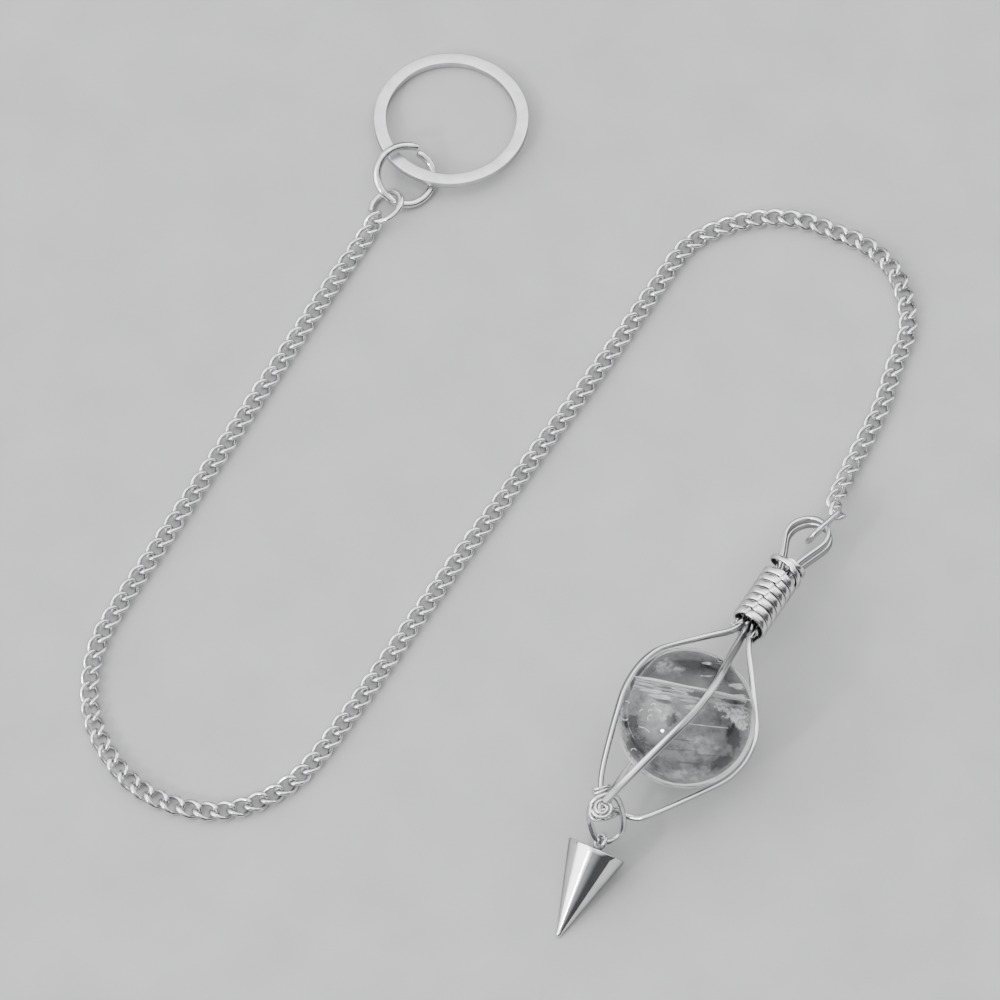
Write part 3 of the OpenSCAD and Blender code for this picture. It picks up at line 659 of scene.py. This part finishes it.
def wrap_point(i):
    return knot_at(WRAP_FROM + wrap_pitch * i / WRAP_STEPS, wrap_r, 90 + 360 * (WRAP_TURNS - i / WRAP_STEPS))


def scroll_point(i):
    done = i / WRAP_STEPS
    r = SCROLL_R - WRAP_D / 2 - wrap_pitch * done
    return scroll_middle + r * (knot_u * sind(360 * done) + knot_v * cosd(360 * done))


wrap_count = int(WRAP_STEPS * WRAP_TURNS)
scroll_count = int(WRAP_STEPS * SCROLL_TURNS)
wrap_path = ([wrap_point(i) for i in range(wrap_count + 1)]
             + [mix(wrap_point(wrap_count), scroll_point(0), i / (TURN_STEPS + 1))
                for i in range(1, TURN_STEPS + 1)]
             + [scroll_point(i) for i in range(scroll_count + 1)])
wrap_across = ([knot_u] * (wrap_count + 1)
               + [unit(mix(knot_u, knot_v, i / TURN_STEPS)) for i in range(1, TURN_STEPS + 1)]
               + [unit(mix(knot_v, tail_w, min(1, i / TURN_STEPS))) for i in range(scroll_count + 1)])
new_piece("dressed_end_wrap", open_wire(*refined(wrap_path, wrap_across, WRAP_FINE), round_section(WRAP_D)),
          bright_wire, "end_wrap", False)

# Two loose turns of the same wire bind the left rib's end, and one more loop hangs out from under
# the scroll. Both are given as the camera sees them: right, up and towards it.
BIND_TURNS, BIND_STEPS, BIND_FROM, BIND_RISE, BIND_DOWN = 2, 28, 200, 0.5, 0.35
BIND_LONG, BIND_HIGH, BIND_ASIDE, BIND_LEAN = 1.25, 0.92, 0.2, (28, 16)
LOOSE_D, HANG_FINE = WRAP_D - 0.04, 6
HANG_LOOP = [(-1.45, 0.5, -0.52), (-1.62, -0.1, -0.6), (-1.66, -0.86, -0.6), (-1.38, -1.5, -0.55),
             (-0.8, -1.82, -0.5), (-0.26, -1.56, -0.47), (-0.16, -1.05, -0.46), (-0.42, -0.6, -0.46)]
bind_at = mix(left_bow[1], left_out[2], BIND_DOWN) + view_right * BIND_ASIDE
bind_dir = unit(left_bow[0] - left_bow[1])
bind_path = []
for i in range(BIND_TURNS * BIND_STEPS + 1):
    done = i / BIND_STEPS
    a, lean = BIND_FROM + 360 * done, mix(*BIND_LEAN, done / BIND_TURNS)
    bind_path.append(bind_at + (view_right * cosd(lean) + view_up * sind(lean)) * BIND_LONG * cosd(a)
                     + near * BIND_HIGH * sind(a) + bind_dir * BIND_RISE * done)
hang_path = [scroll_middle + view_right * x + view_up * y + near * z for x, y, z in HANG_LOOP]
hang_path, hang_across = refined(hang_path, [near] * len(HANG_LOOP), HANG_FINE)
loose_section = round_section(LOOSE_D)
new_piece("knot_loose_turns", gathered([open_wire(bind_path, [-bind_dir] * len(bind_path), loose_section),
                                        open_wire(hang_path, hang_across, loose_section)]),
          bright_wire, laid_out=False)


# Rings

def oval_path(r, straight, steps=120, power=2.6):
    """Oval in the XY plane, long along X, its bends running smoothly into its sides."""
    return [np.array([(straight / 2 + r) * bulge(cosd(a), 2 / power), r * bulge(sind(a), 2 / power), 0.0])
            for a in (360 * i / steps for i in range(steps))]


def oval_ring(name, r, straight, at, matrix, section, node):
    path = placed(oval_path(r, straight), at, matrix)
    shape = tube(path, [matrix @ UP] * len(path), section, closed=True)
    new_piece(name, shape, bright_wire, node)


oval_ring("dressed_bottom_ring", oval_r, 2 * (oval_half - oval_r), oval_at,
          turn(0, oval_slope, OVAL_HEADING), round_section(OVAL_WIRE, 18), "bottom_ring")

CONN_HOOK, CONN_OUT, CONN_LEAN, CONN_SWING = -20, -0.1, 33, 9.5
conn_r = strand_w + WIRE_W / 2 + CONN_SIDE + CONN_WIRE / 2
conn_heading = NECK_HEADING - CONN_SWING
conn_dir = compass(conn_heading, CONN_SLOPE)
conn_roll = roll_to(face_dir, conn_dir, left_of(conn_heading)) + CONN_LEAN
conn_at = ball_at + loop_at(CONN_HOOK) + conn_dir * CONN_OUT
conn_tip = conn_at + conn_dir * (CONN_STRAIGHT / 2 + conn_r)
oval_ring("dressed_connector", conn_r, CONN_STRAIGHT, conn_at, turn(conn_roll, CONN_SLOPE, conn_heading),
          round_section(CONN_WIRE, 16), "connector_link")


def ring_point(at, r, tilt, high, a):
    """Point of a tilted ring that is highest at one compass angle."""
    b = a - high
    return at + r * np.array([cosd(high) * cosd(b) * cosd(tilt) - sind(high) * sind(b),
                              sind(high) * cosd(b) * cosd(tilt) + cosd(high) * sind(b),
                              cosd(b) * sind(tilt)])


def cut_ring(name, at, r, wire, tilt, high, cut_at, node, part, gap, steps=110, sprung=0.18):
    """Ring of round wire with a cut, one of its two ends sprung out by half of part, the other in."""
    cut = math.degrees(gap / r)
    axis = unit(np.cross(ring_point(at, r, tilt, high, 0) - at, ring_point(at, r, tilt, high, 90) - at))
    path = []
    for i in range(steps + 1):
        t = i / steps
        spring = part / 2 * (max(0, 1 - t / sprung) ** 2 - max(0, 1 - (1 - t) / sprung) ** 2)
        path.append(ring_point(at, r + spring, tilt, high, cut_at + cut / 2 + (360 - cut) * t))
    new_piece(name, open_wire(path, [axis] * len(path), round_section(wire, 18)), chain_metal,
              node)


LARGE_LOW, LARGE_GAP = -45, 66
SMALL_HIGH, SMALL_HOOK, SMALL_GAP, HOOK_SLACK = -25, -127, 195, 0.5
key_tilt = math.degrees(math.asin((LARGE_WIRE + KEY_LIFT) / KEY_D))
key_at = np.array([KEY_X, KEY_Y, KEY_T / 2 * cosd(key_tilt) + KEY_D / 2 * sind(key_tilt)])
large_r = (LARGE_D - LARGE_WIRE) / 2
large_reach = (KEY_D - KEY_BAND) / 2 + large_r - (KEY_BAND + LARGE_WIRE) / 2 - LARGE_SLACK
large_at = (np.array([KEY_X, KEY_Y, LARGE_WIRE / 2 + large_r * sind(LARGE_TILT)])
            + compass(LARGE_HEADING, 0) * large_reach)
small_r = (SMALL_D - SMALL_WIRE) / 2
small_reach = large_r + small_r - (LARGE_WIRE + SMALL_WIRE) / 2 - SMALL_SLACK
small_at = (np.array([large_at[0], large_at[1], SMALL_WIRE / 2 + small_r * sind(SMALL_TILT)])
            + compass(SMALL_HEADING, 0) * small_reach)
cut_ring("dressed_large_ring", large_at, large_r, LARGE_WIRE, LARGE_TILT, LARGE_LOW + 180, LARGE_GAP,
         "large_jump_ring", 0.75, 0.35)
cut_ring("dressed_small_ring", small_at, small_r, SMALL_WIRE, SMALL_TILT, SMALL_HIGH, SMALL_GAP,
         "small_jump_ring", 0.3, 1.2)


# Key ring: worn, so it isn't quite round. Its waves are (height, count, start in radians), its kinks
# (angle, depth, width), and it is a little smaller so that the waves stay inside the solid's box.

KEY_WAVES = ((0.035, 3, 0.6), (0.02, 7, 0.0))
KEY_KINKS = ((62, 0.05, 5), (-38, 0.05, 6))
KEY_LESS, KEY_STEPS = 0.055, 256


def key_section(steps=4):
    """Section of the ring as (radius, height), with rounded edges."""
    bevel, inner, outer = KEY_BEVEL, KEY_D / 2 - KEY_BAND, KEY_D / 2
    corners = [(outer - bevel, -KEY_T / 2 + bevel, -90), (outer - bevel, KEY_T / 2 - bevel, 0),
               (inner + bevel, KEY_T / 2 - bevel, 90), (inner + bevel, -KEY_T / 2 + bevel, 180)]
    return [(x + bevel * cosd(a + 90 * k / steps), z + bevel * sind(a + 90 * k / steps))
            for x, z, a in corners for k in range(steps + 1)]


def key_wave(a):
    wave = sum(height * math.sin(count * math.radians(a) + start) for height, count, start in KEY_WAVES)
    for at, depth, width in KEY_KINKS:
        off = (a - at + 180) % 360 - 180
        wave -= depth * math.exp(-(off / width) ** 2)
    return wave - KEY_LESS


key_points = [compass(a, 0) * (r + key_wave(a)) + UP * z
              for a in (360 * i / KEY_STEPS for i in range(KEY_STEPS)) for r, z in key_section()]
key_shape = placed(key_points, key_at, turn(-key_tilt, 0, 0)), tube_faces(KEY_STEPS, len(key_section()), True)
new_piece("dressed_key_ring", key_shape, satin_metal, "key_ring")


# Cone drop with its eye

CONE_STEPS, FLANK_STEPS, EDGE_STEPS, FLANK_SUNK, EDGE_IN, TIP_ROUND = 128, 24, 5, 0.02, 1.1, 1.6
EYE_STEP, EYE_SIDES = 8, 16


def cone_profile():
    """Radius along the cone's axis from the middle of the base to the tip, its edges rounded."""
    half, tip_half = CONE_D / 2, CONE_TIP_D / 2
    slope = (half - tip_half) / CONE_L
    profile = [(0.0, 0.0), (half / 2, 0.0), (half - 2 * CONE_BEVEL, 0.0)]
    for k in range(EDGE_STEPS + 1):
        a = 90 * k / EDGE_STEPS
        profile.append((half - CONE_BEVEL * (EDGE_IN + slope - sind(a)), CONE_BEVEL * (1 - cosd(a))))
    for k in range(1, FLANK_STEPS + 1):
        x = CONE_BEVEL + (CONE_L - TIP_ROUND * CONE_TIP_D - CONE_BEVEL) * k / FLANK_STEPS
        profile.append(((half - tip_half) * (1 - x / CONE_L) + tip_half - FLANK_SUNK, x))
    tip_r, tip_x = profile[-1]
    for k in range(1, EDGE_STEPS + 1):
        a = 90 * k / EDGE_STEPS
        profile.append((tip_r * cosd(a), tip_x + (CONE_L - tip_x) * sind(a)))
    return profile


ring_along = oval_left * cosd(EYE_ANGLE) - oval_dir * sind(EYE_ANGLE)
eye_turn = turn(roll_to(ring_along, cone_dir, left_of(CONE_HEADING)) + 90, 0, 0)
eye_path = [np.array([-eye_x, 0, 0]) + eye_turn @ np.array([eye_r * cosd(a), eye_r * sind(a), 0])
            for a in range(0, 360, EYE_STEP)]
eye = tube(eye_path, [eye_turn @ UP] * len(eye_path), round_section(EYE_WIRE, EYE_SIDES), closed=True)
cone_points, cone_faces = gathered([spun(cone_profile(), CONE_STEPS), eye])
cone_at = np.array([eye_at[0] + cone_dir[0] * eye_x, eye_at[1] + cone_dir[1] * eye_x, cone_base_z])
cone_shape = placed(cone_points, cone_at, turn(0, cone_half, CONE_HEADING)), cone_faces
cone = new_piece("dressed_cone", cone_shape, mirror_polish, "cone_drop")
cone.data.materials.append(base_polish)
for face in cone.data.polygons[:2 * CONE_STEPS]:
    face.material_index = 1


# Chain. The solids' links have fewer steps and sides, and the chain lies by them.

LINK_STEPS, LINK_SIDES, SOLID_STEPS, SOLID_SIDES, LINK_SQUARE = 26, 10, 10, 5, 0.9
CONN_SLACK, RISE_L, SPLINE_STEPS, HOOK_RUN, HOOK_LIFT = 0.3, 13, 10, (-2.3, -3.9), 0.2
ROLL_LINKS, START_ROLL, END_ROLL = 8, -35, -55
link_a = (LINK_L - LINK_WIRE) / 2
link_b = (LINK_W - LINK_WIRE) / 2


def link_line(t):
    x, y = link_a * bulge(cosd(t), LINK_SQUARE), link_b * bulge(sind(t), LINK_SQUARE)
    a = LINK_TWIST * x / link_a
    return np.array([x, y * cosd(a), y * sind(a)])


def link_rings(steps, sides):
    rings = []
    step = 360 / steps
    for i in range(steps):
        t = step * (i + 0.5)
        p = link_line(t)
        along = unit(link_line(t + step) - link_line(t - step))
        n = unit(p - along * (p @ along))
        b = np.cross(along, n)
        rings += [p + LINK_WIRE / 2 * (n * cosd(360 * k / sides) + b * sind(360 * k / sides))
                  for k in range(sides)]
    return np.array(rings)


link_fine = link_rings(LINK_STEPS, LINK_SIDES)
link_rest = -link_rings(SOLID_STEPS, SOLID_SIDES)[:, 2].min()
hook_at = ring_point(small_at, small_r, SMALL_TILT, SMALL_HIGH, SMALL_HOOK)
hook_reach = link_a - LINK_WIRE / 2 - SMALL_WIRE / 2 - HOOK_SLACK
conn_reach = link_a - LINK_WIRE / 2 - CONN_WIRE / 2 - CONN_SLACK


def rising(x, y):
    """Point of the route, which lies flat and rises to the connector."""
    t = max(0, 1 - math.hypot(x - conn_tip[0], y - conn_tip[1]) / RISE_L)
    return np.array([x, y, mix(link_rest, conn_tip[2], t * t)])


route = np.array([hook_at, (hook_at[0] + HOOK_RUN[0], hook_at[1] + HOOK_RUN[1], link_rest + HOOK_LIFT),
                  *[rising(x, y) for x, y in CHAIN_ROUTE], conn_tip])
last = len(route) - 1
fine = []
for i in range(last):
    p0, p1, p2, p3 = route[max(i - 1, 0)], route[i], route[i + 1], route[min(i + 2, last)]
    for t in (k / SPLINE_STEPS for k in range(SPLINE_STEPS)):
        fine.append(0.5 * (2 * p1 + (p2 - p0) * t + (2 * p0 - 5 * p1 + 4 * p2 - p3) * t * t
                           + (3 * p1 - 3 * p2 + p3 - p0) * t ** 3))
fine = np.array(fine + [route[last]])
reach = np.concatenate([[0], np.cumsum(np.linalg.norm(np.diff(fine, axis=0), axis=1))])
links_l = reach[-1] - hook_reach - conn_reach
link_count = 1 + math.ceil(links_l / (LINK_L - 2 * LINK_WIRE - LINK_SLACK))
link_pitch = links_l / (link_count - 1)


def on_route(s):
    return np.array([np.interp(s, reach, fine[:, k]) for k in range(3)])


links = []
for i in range(link_count):
    s = hook_reach + i * link_pitch
    along = unit(on_route(s + link_a / 2) - on_route(s - link_a / 2))
    level = unit(np.cross(UP, along))
    roll = (START_ROLL * max(0, 1 - i / ROLL_LINKS)
            + END_ROLL * max(0, 1 - (link_count - 1 - i) / ROLL_LINKS))
    across = level * cosd(roll) + np.cross(along, level) * sind(roll)
    points = on_route(s) + link_fine @ np.array([along, across, np.cross(along, across)])
    points[:, 2] -= min(0, points[:, 2].min())
    links.append((list(points), tube_faces(LINK_STEPS, LINK_SIDES, True)))
new_piece("dressed_chain", gathered(links), chain_metal, "chain")


# Stone

BALL_STEPS = 64
ball_profile = [(BALL_D / 2 * sind(a), -BALL_D / 2 * cosd(a))
                for a in (180 * i / BALL_STEPS for i in range(BALL_STEPS + 1))]
ball_points, ball_faces = spun(ball_profile, 2 * BALL_STEPS)
new_piece("dressed_ball", (placed(ball_points, 0, turn(0, -90, 0)), ball_faces), quartz,
          "crystal_ball", False)


# Inclusions. Each is placed by where the camera sees it through the curved face: x and y run right
# and up from the ball's middle in radii, and depth runs from the near face (0) to the far one (1).

OUTERMOST = 0.97


def inside(x, y, depth):
    h = math.hypot(x, y)
    if h > OUTERMOST:
        x, y, h = x * OUTERMOST / h, y * OUTERMOST / h, OUTERMOST
    radial = (view_right * x + view_up * y) / max(h, 1e-6)
    enter, refracted = math.asin(h), math.asin(h / QUARTZ_IOR)
    start = radial * h + near * math.cos(enter)
    ray = -near * math.cos(enter - refracted) - radial * math.sin(enter - refracted)
    return BALL_D / 2 * (start + ray * depth * 2 * math.cos(refracted))


def sheets(name, parts, material, steps=(24, 10)):
    """Thin sheets in the stone; each part gives (x, y, depth) for its own (u, v) from 0 to 1."""
    places = [(i / steps[0], j / steps[1]) for i in range(steps[0] + 1) for j in range(steps[1] + 1)]
    row = steps[1] + 1
    faces = [(a, a + row, a + row + 1, a + 1)
             for i in range(steps[0]) for j in range(steps[1]) for a in [i * row + j]]
    shape = gathered([([inside(*part(*uv)) for uv in places], faces) for part in parts])
    piece = new_piece(name, shape, material, laid_out=False)
    layer = piece.data.uv_layers.new(name="sheet")
    for loop in piece.data.loops:
        layer.data[loop.index].uv = places[loop.vertex_index % len(places)]


def patch(x, y, half_w, half_h, lean, depth, tilt=0.03, cant=0.05):
    """A small sheet about (x, y), its long side leaning up by an angle from the view's right; its
    right end lies deeper by tilt and its top edge by cant."""
    def part(u, v):
        a, b = (2 * u - 1) * half_w, (2 * v - 1) * half_h
        return (x + a * cosd(lean) - b * sind(lean), y + a * sind(lean) + b * cosd(lean),
                depth + tilt * a / half_w + cant * b / half_h)
    return part


def patches(*places):
    return [patch(*place) for place in places]


def on_line(points, u):
    """Point on a line through (x, y) points, for u from 0 to 1."""
    k = min(int(u * (len(points) - 1)), len(points) - 2)
    t = u * (len(points) - 1) - k
    return [mix(points[k][i], points[k + 1][i], t) for i in range(2)]


def inclusion(name, dark, light, opacity, cut, scale, streaks=None, ends_only=False):
    """Partly clear sheet: noise sets its tone, leaves holes in it and makes its edges ragged, or its
    two ends alone. With streaks the noise runs along the sheet."""
    material, tree, shader = new_material(name)
    uv = coordinates(tree, "UV")
    place = stretched(tree, uv, streaks) if streaks else coordinates(tree, "Object")
    mottle = cloudy(tree, place, scale, 5, 0.6)
    up, inner = (0, 0.47) if ends_only else (1, 0.15)
    from_middle = add(tree, "VectorMath", {0: stretched(tree, uv, (1, up, 1)), 1: (0.5, up / 2, 0)},
                      operation="DISTANCE").outputs["Value"]
    rim = ranged(tree, from_middle, 0.5, inner, -0.6, 0)
    holes = ranged(tree, calc(tree, "ADD", mottle, rim), *cut, *opacity, "SMOOTHSTEP")
    fill(shader, {"Base Color": toned(tree, mottle, (0.36, dark), (0.62, light)), "Roughness": 0.6,
                  "Alpha": holes})
    return material


# Upper and lower edge of the healed crack that crosses the stone
CRACK_TOP = [(-0.73, 0.585), (-0.5, 0.55), (-0.2, 0.49), (0.2, 0.41), (0.56, 0.335), (0.92, 0.25)]
CRACK_LOW = [(-0.79, 0.4), (-0.52, 0.375), (-0.22, 0.325), (0.08, 0.255), (0.42, 0.2), (0.88, 0.12)]
CRACK_DEPTH, SHEET_SWELL = (0.14, 0.24), 0.03
BODY_SPAN, BODY_EDGE, BODY_DEPTH = (-0.9, 0.93), 0.93, 0.3
CAP_SPAN, CAP_EDGE, CAP_DEPTH = (-0.78, 0.94), 0.95, 0.32


def crack(u, v):
    """The bright sheet between the crack's two edges."""
    a, b = on_line(CRACK_LOW, u), on_line(CRACK_TOP, u)
    return mix(a[0], b[0], v), mix(a[1], b[1], v), mix(*CRACK_DEPTH, v)


def lower_body(u, v):
    """The cloudy stone below the crack, down to the view's edge of the ball."""
    x = mix(*BODY_SPAN, u)
    foot = -math.sqrt(max(0, BODY_EDGE ** 2 - x * x))
    return x, mix(foot, on_line(CRACK_LOW, u)[1], v), BODY_DEPTH + SHEET_SWELL * math.sin(5 * u + 3 * v)


def cap(u, v):
    """The darker stone above the crack's lower edge, up to the view's edge of the ball."""
    x, low = mix(*CAP_SPAN, u), on_line(CRACK_LOW, u)[1]
    crest = math.sqrt(max(0, CAP_EDGE ** 2 - x * x))
    return x, mix(low, max(crest, low), v), CAP_DEPTH + SHEET_SWELL * math.sin(4 * u)


sheets("stone_crack", [crack], inclusion(
    "crack", grey(0.6, 0.01), grey(1), (0, 1), (0.47, 0.56), 4, (1, 7, 1), True), (40, 16))
sheets("stone_cloud", [lower_body], inclusion(
    "cloud", grey(0.1, 0.005), grey(0.34), (0.7, 0.97), (0.3, 0.62), 620, None, True), (40, 24))
sheets("stone_cap", [cap], inclusion(
    "cap", grey(0.015, 0.005), grey(0.11), (0.8, 0.97), (0.3, 0.62), 420, None, True), (40, 20))
sheets("stone_soft_veils", patches(
    (-0.25, 0.72, 0.34, 0.2, -10, 0.24), (-0.25, 0.08, 0.4, 0.26, -20, 0.22),
    (0.25, -0.4, 0.55, 0.3, 0, 0.22), (0.05, -0.8, 0.6, 0.16, -2, 0.2, 0, 0.03)),
    inclusion("soft_veil", grey(0.6), grey(0.95), (0, 0.5), (0.1, 0.7), 1100))
sheets("stone_light_veils", patches(
    (0.7, 0.05, 0.3, 0.2, -8, 0.2, -0.05, 0.04), (0.79, -0.1, 0.19, 0.12, -5, 0.18, -0.04, 0.03),
    (0.5, 0.15, 0.2, 0.1, -14, 0.2, -0.04, 0.03)),
    inclusion("light_veil", grey(0.5), grey(1), (0, 1), (0.22, 0.44), 2200))
sheets("stone_streaks", patches(
    (0.72, 0.45, 0.26, 0.1, -9, 0.14), (0.76, 0.3, 0.24, 0.09, -12, 0.14),
    (0.7, 0.19, 0.26, 0.06, -10, 0.14), (0.3, 0.6, 0.2, 0.05, 2, 0.14),
    (0.3, 0.77, 0.16, 0.05, -5, 0.14), (-0.48, 0.38, 0.42, 0.07, -9, 0.12),
    (0.05, 0.24, 0.3, 0.05, -8, 0.12), (-0.35, 0.3, 0.4, 0.08, -9, 0.13),
    (0.12, 0.14, 0.3, 0.13, -10, 0.14)),
    inclusion("streaks", grey(0.85), grey(1), (0, 1), (0.36, 0.52), 3, (1.3, 7, 1)))
sheets("stone_dark_marks", patches(
    (0.16, 0.335, 0.26, 0.075, -9, 0.08), (0.26, 0.315, 0.26, 0.075, -9, 0.09),
    (0.64, 0.235, 0.24, 0.05, -12, 0.08), (0.7, 0.23, 0.24, 0.05, -12, 0.09),
    (0.42, 0.66, 0.42, 0.3, -20, 0.16), (0.68, -0.27, 0.15, 0.32, 8, 0.14),
    (0.5, -0.62, 0.3, 0.14, 30, 0.14), (-0.68, -0.4, 0.26, 0.3, 20, 0.14),
    (-0.72, -0.08, 0.26, 0.2, -10, 0.14), (-0.2, -0.03, 0.17, 0.14, 30, 0.12),
    (-0.32, 0.235, 0.2, 0.05, -14, 0.1)),
    inclusion("dark_mark", grey(0.005, 0.003), grey(0.03, 0.005), (0, 0.95), (0.12, 0.42), 1800))
sheets("stone_faint_lines", patches(
    (0.1, -0.64, 0.55, 0.03, -7, 0.16), (-0.05, -0.45, 0.4, 0.025, -4, 0.16),
    (-0.1, -0.3, 0.3, 0.02, -6, 0.16), (0.3, -0.52, 0.3, 0.02, -3, 0.16)),
    inclusion("faint_line", grey(0.03, 0.005), grey(0.1, 0.01), (0, 0.55), (0.1, 0.6), 900))


# Fine bright lines, as (points, radius, depth), and painted glints: opaque white arcs on the edges of small
# bubbles near the left face, as (x, y, bubble's radius, start, span, line's radius, depth)

BRIGHT_LINES = [(CRACK_TOP, 0.19, 0.06), ([(0.05, -0.08), (0.3, -0.11), (0.6, -0.14)], 0.06, 0.07),
                ([(-0.66, -0.12), (-0.57, -0.14), (-0.5, -0.2)], 0.06, 0.07),
                ([(-0.2, 0.43), (0.1, 0.3)], 0.05, 0.07)]
BUBBLE_GLINTS = [(-0.45, 0.17, 0.035, 20, 150, 0.07, 0.08), (-0.37, 0.08, 0.03, 0, 140, 0.06, 0.08),
           (-0.49, 0.09, 0.03, 30, 150, 0.06, 0.08), (-0.49, 0.0, 0.04, 60, 170, 0.06, 0.08),
           (-0.61, 0.09, 0.03, 60, 140, 0.06, 0.08), (-0.73, -0.47, 0.04, 20, 150, 0.07, 0.08),
           (-0.86, 0.1, 0.05, 100, 130, 0.1, 0.06), (-0.83, 0.2, 0.04, 0, 120, 0.09, 0.06),
           (-0.85, 0.02, 0.05, 200, 120, 0.09, 0.06)]
NEEDLE_STEPS, NEEDLE_SIDES, NEEDLE_LEAST, NEEDLE_RISE, NEEDLE_START, ARC_STEPS = 24, 8, 0.3, 1.6, 0.1, 8


def needle(points, r, depth):
    """Thin round line inside the stone, thinner towards its ends and at its middle."""
    path = [inside(*on_line(points, i / NEEDLE_STEPS), depth) for i in range(NEEDLE_STEPS + 1)]
    edges = [min(i, NEEDLE_STEPS - i) / NEEDLE_STEPS for i in range(NEEDLE_STEPS + 1)]
    scale = [NEEDLE_LEAST + (1 - NEEDLE_LEAST) * sind(180 * min(1, NEEDLE_RISE * edge + NEEDLE_START))
             for edge in edges]
    return tube(path, [near] * len(path), round_section(2 * r, NEEDLE_SIDES), scale=scale)


def arc_line(x, y, r, start, span):
    angles = [start + span * k / ARC_STEPS for k in range(ARC_STEPS + 1)]
    return [(x + r * cosd(a), y + r * sind(a)) for a in angles]


needles = [needle(*line) for line in BRIGHT_LINES]
# The bubbles' bright edges are painted glints: opaque white arcs.
needles += [needle(arc_line(*arc), r, depth) for *arc, r, depth in BUBBLE_GLINTS]
new_piece("stone_bright_lines", gathered(needles), inclusion(
    "bright_line", grey(0.97), grey(1), (1, 1), (0, 1), 900), laid_out=False)


# Floor, light and camera. Azimuth 0 stands at the camera's side.

FLOOR_HALF, FLOOR_SUNK = 1500, 0.02


def plain_floor():
    material, tree, shader = new_material("floor")
    fibre = cloudy(tree, coordinates(tree, "Object"), 90, 5)
    fill(shader, {"Base Color": toned(tree, fibre, (0.3, grey(0.38, -0.003)), (0.7, grey(0.42, -0.003))),
                  "Roughness": 0.75})
    mesh = bpy.data.meshes.new("floor")
    h = FLOOR_HALF * MM
    mesh.from_pydata([(-h, -h, 0), (h, -h, 0), (h, h, 0), (-h, h, 0)], [], [(0, 1, 2, 3)])
    mesh.materials.append(material)
    piece = in_scene("floor", mesh)
    piece.location.z = -FLOOR_SUNK * MM


def towards(azimuth, elevation):
    return sind(azimuth) * cosd(elevation), -cosd(azimuth) * cosd(elevation), sind(elevation)


def softbox(name, azimuth, elevation, distance, width, power):
    """Round light that looks at the middle of the part, its distance and width in metres."""
    light = bpy.data.lights.new(name, "AREA")
    light.shape = "DISK"
    light.size = width
    light.energy = power
    lamp = in_scene(name, light)
    away = Vector(towards(azimuth, elevation))
    lamp.location = away * distance
    lamp.rotation_euler = away.to_track_quat("Z", "Y").to_euler()


def studio_world(ambient, lobes):
    """Dark surroundings with broad soft lights, each (azimuth, elevation, width, power)."""
    world = bpy.data.worlds.new("studio")
    bpy.context.scene.world = world
    world.use_nodes = True
    tree = world.node_tree
    way = coordinates(tree, "Generated")
    total = ambient
    for azimuth, elevation, width, power in lobes:
        near_it = add(tree, "VectorMath", {0: way, 1: towards(azimuth, elevation)}, operation="DOT_PRODUCT")
        soft = ranged(tree, near_it.outputs["Value"], cosd(width), 1, 0, power, "SMOOTHERSTEP")
        total = calc(tree, "ADD", soft, total)
    fill(tree.nodes["Background"], {"Color": (0.97, 0.98, 1.0, 1), "Strength": total})


plain_floor()
studio_world(0.1, [(0, 88, 62, 1.6), (185, 60, 45, 1.6), (-76, 30, 42, 5.5), (130, 30, 38, 2.5),
                   (-135, 18, 34, 1.4)])
softbox("key_light", -45, 33, 1.0, 0.09, 3.2)

camera = bpy.data.cameras.new("camera")
camera.sensor_width = 36
camera.lens = PHOTO_FOCAL / PHOTO_PIXELS * camera.sensor_width
viewer = in_scene("camera", camera)
viewer.location = Vector((camera_at * MM).tolist())
viewer.rotation_euler = (math.radians(90 - CAMERA_ELEVATION), 0, 0)
bpy.context.scene.camera = viewer
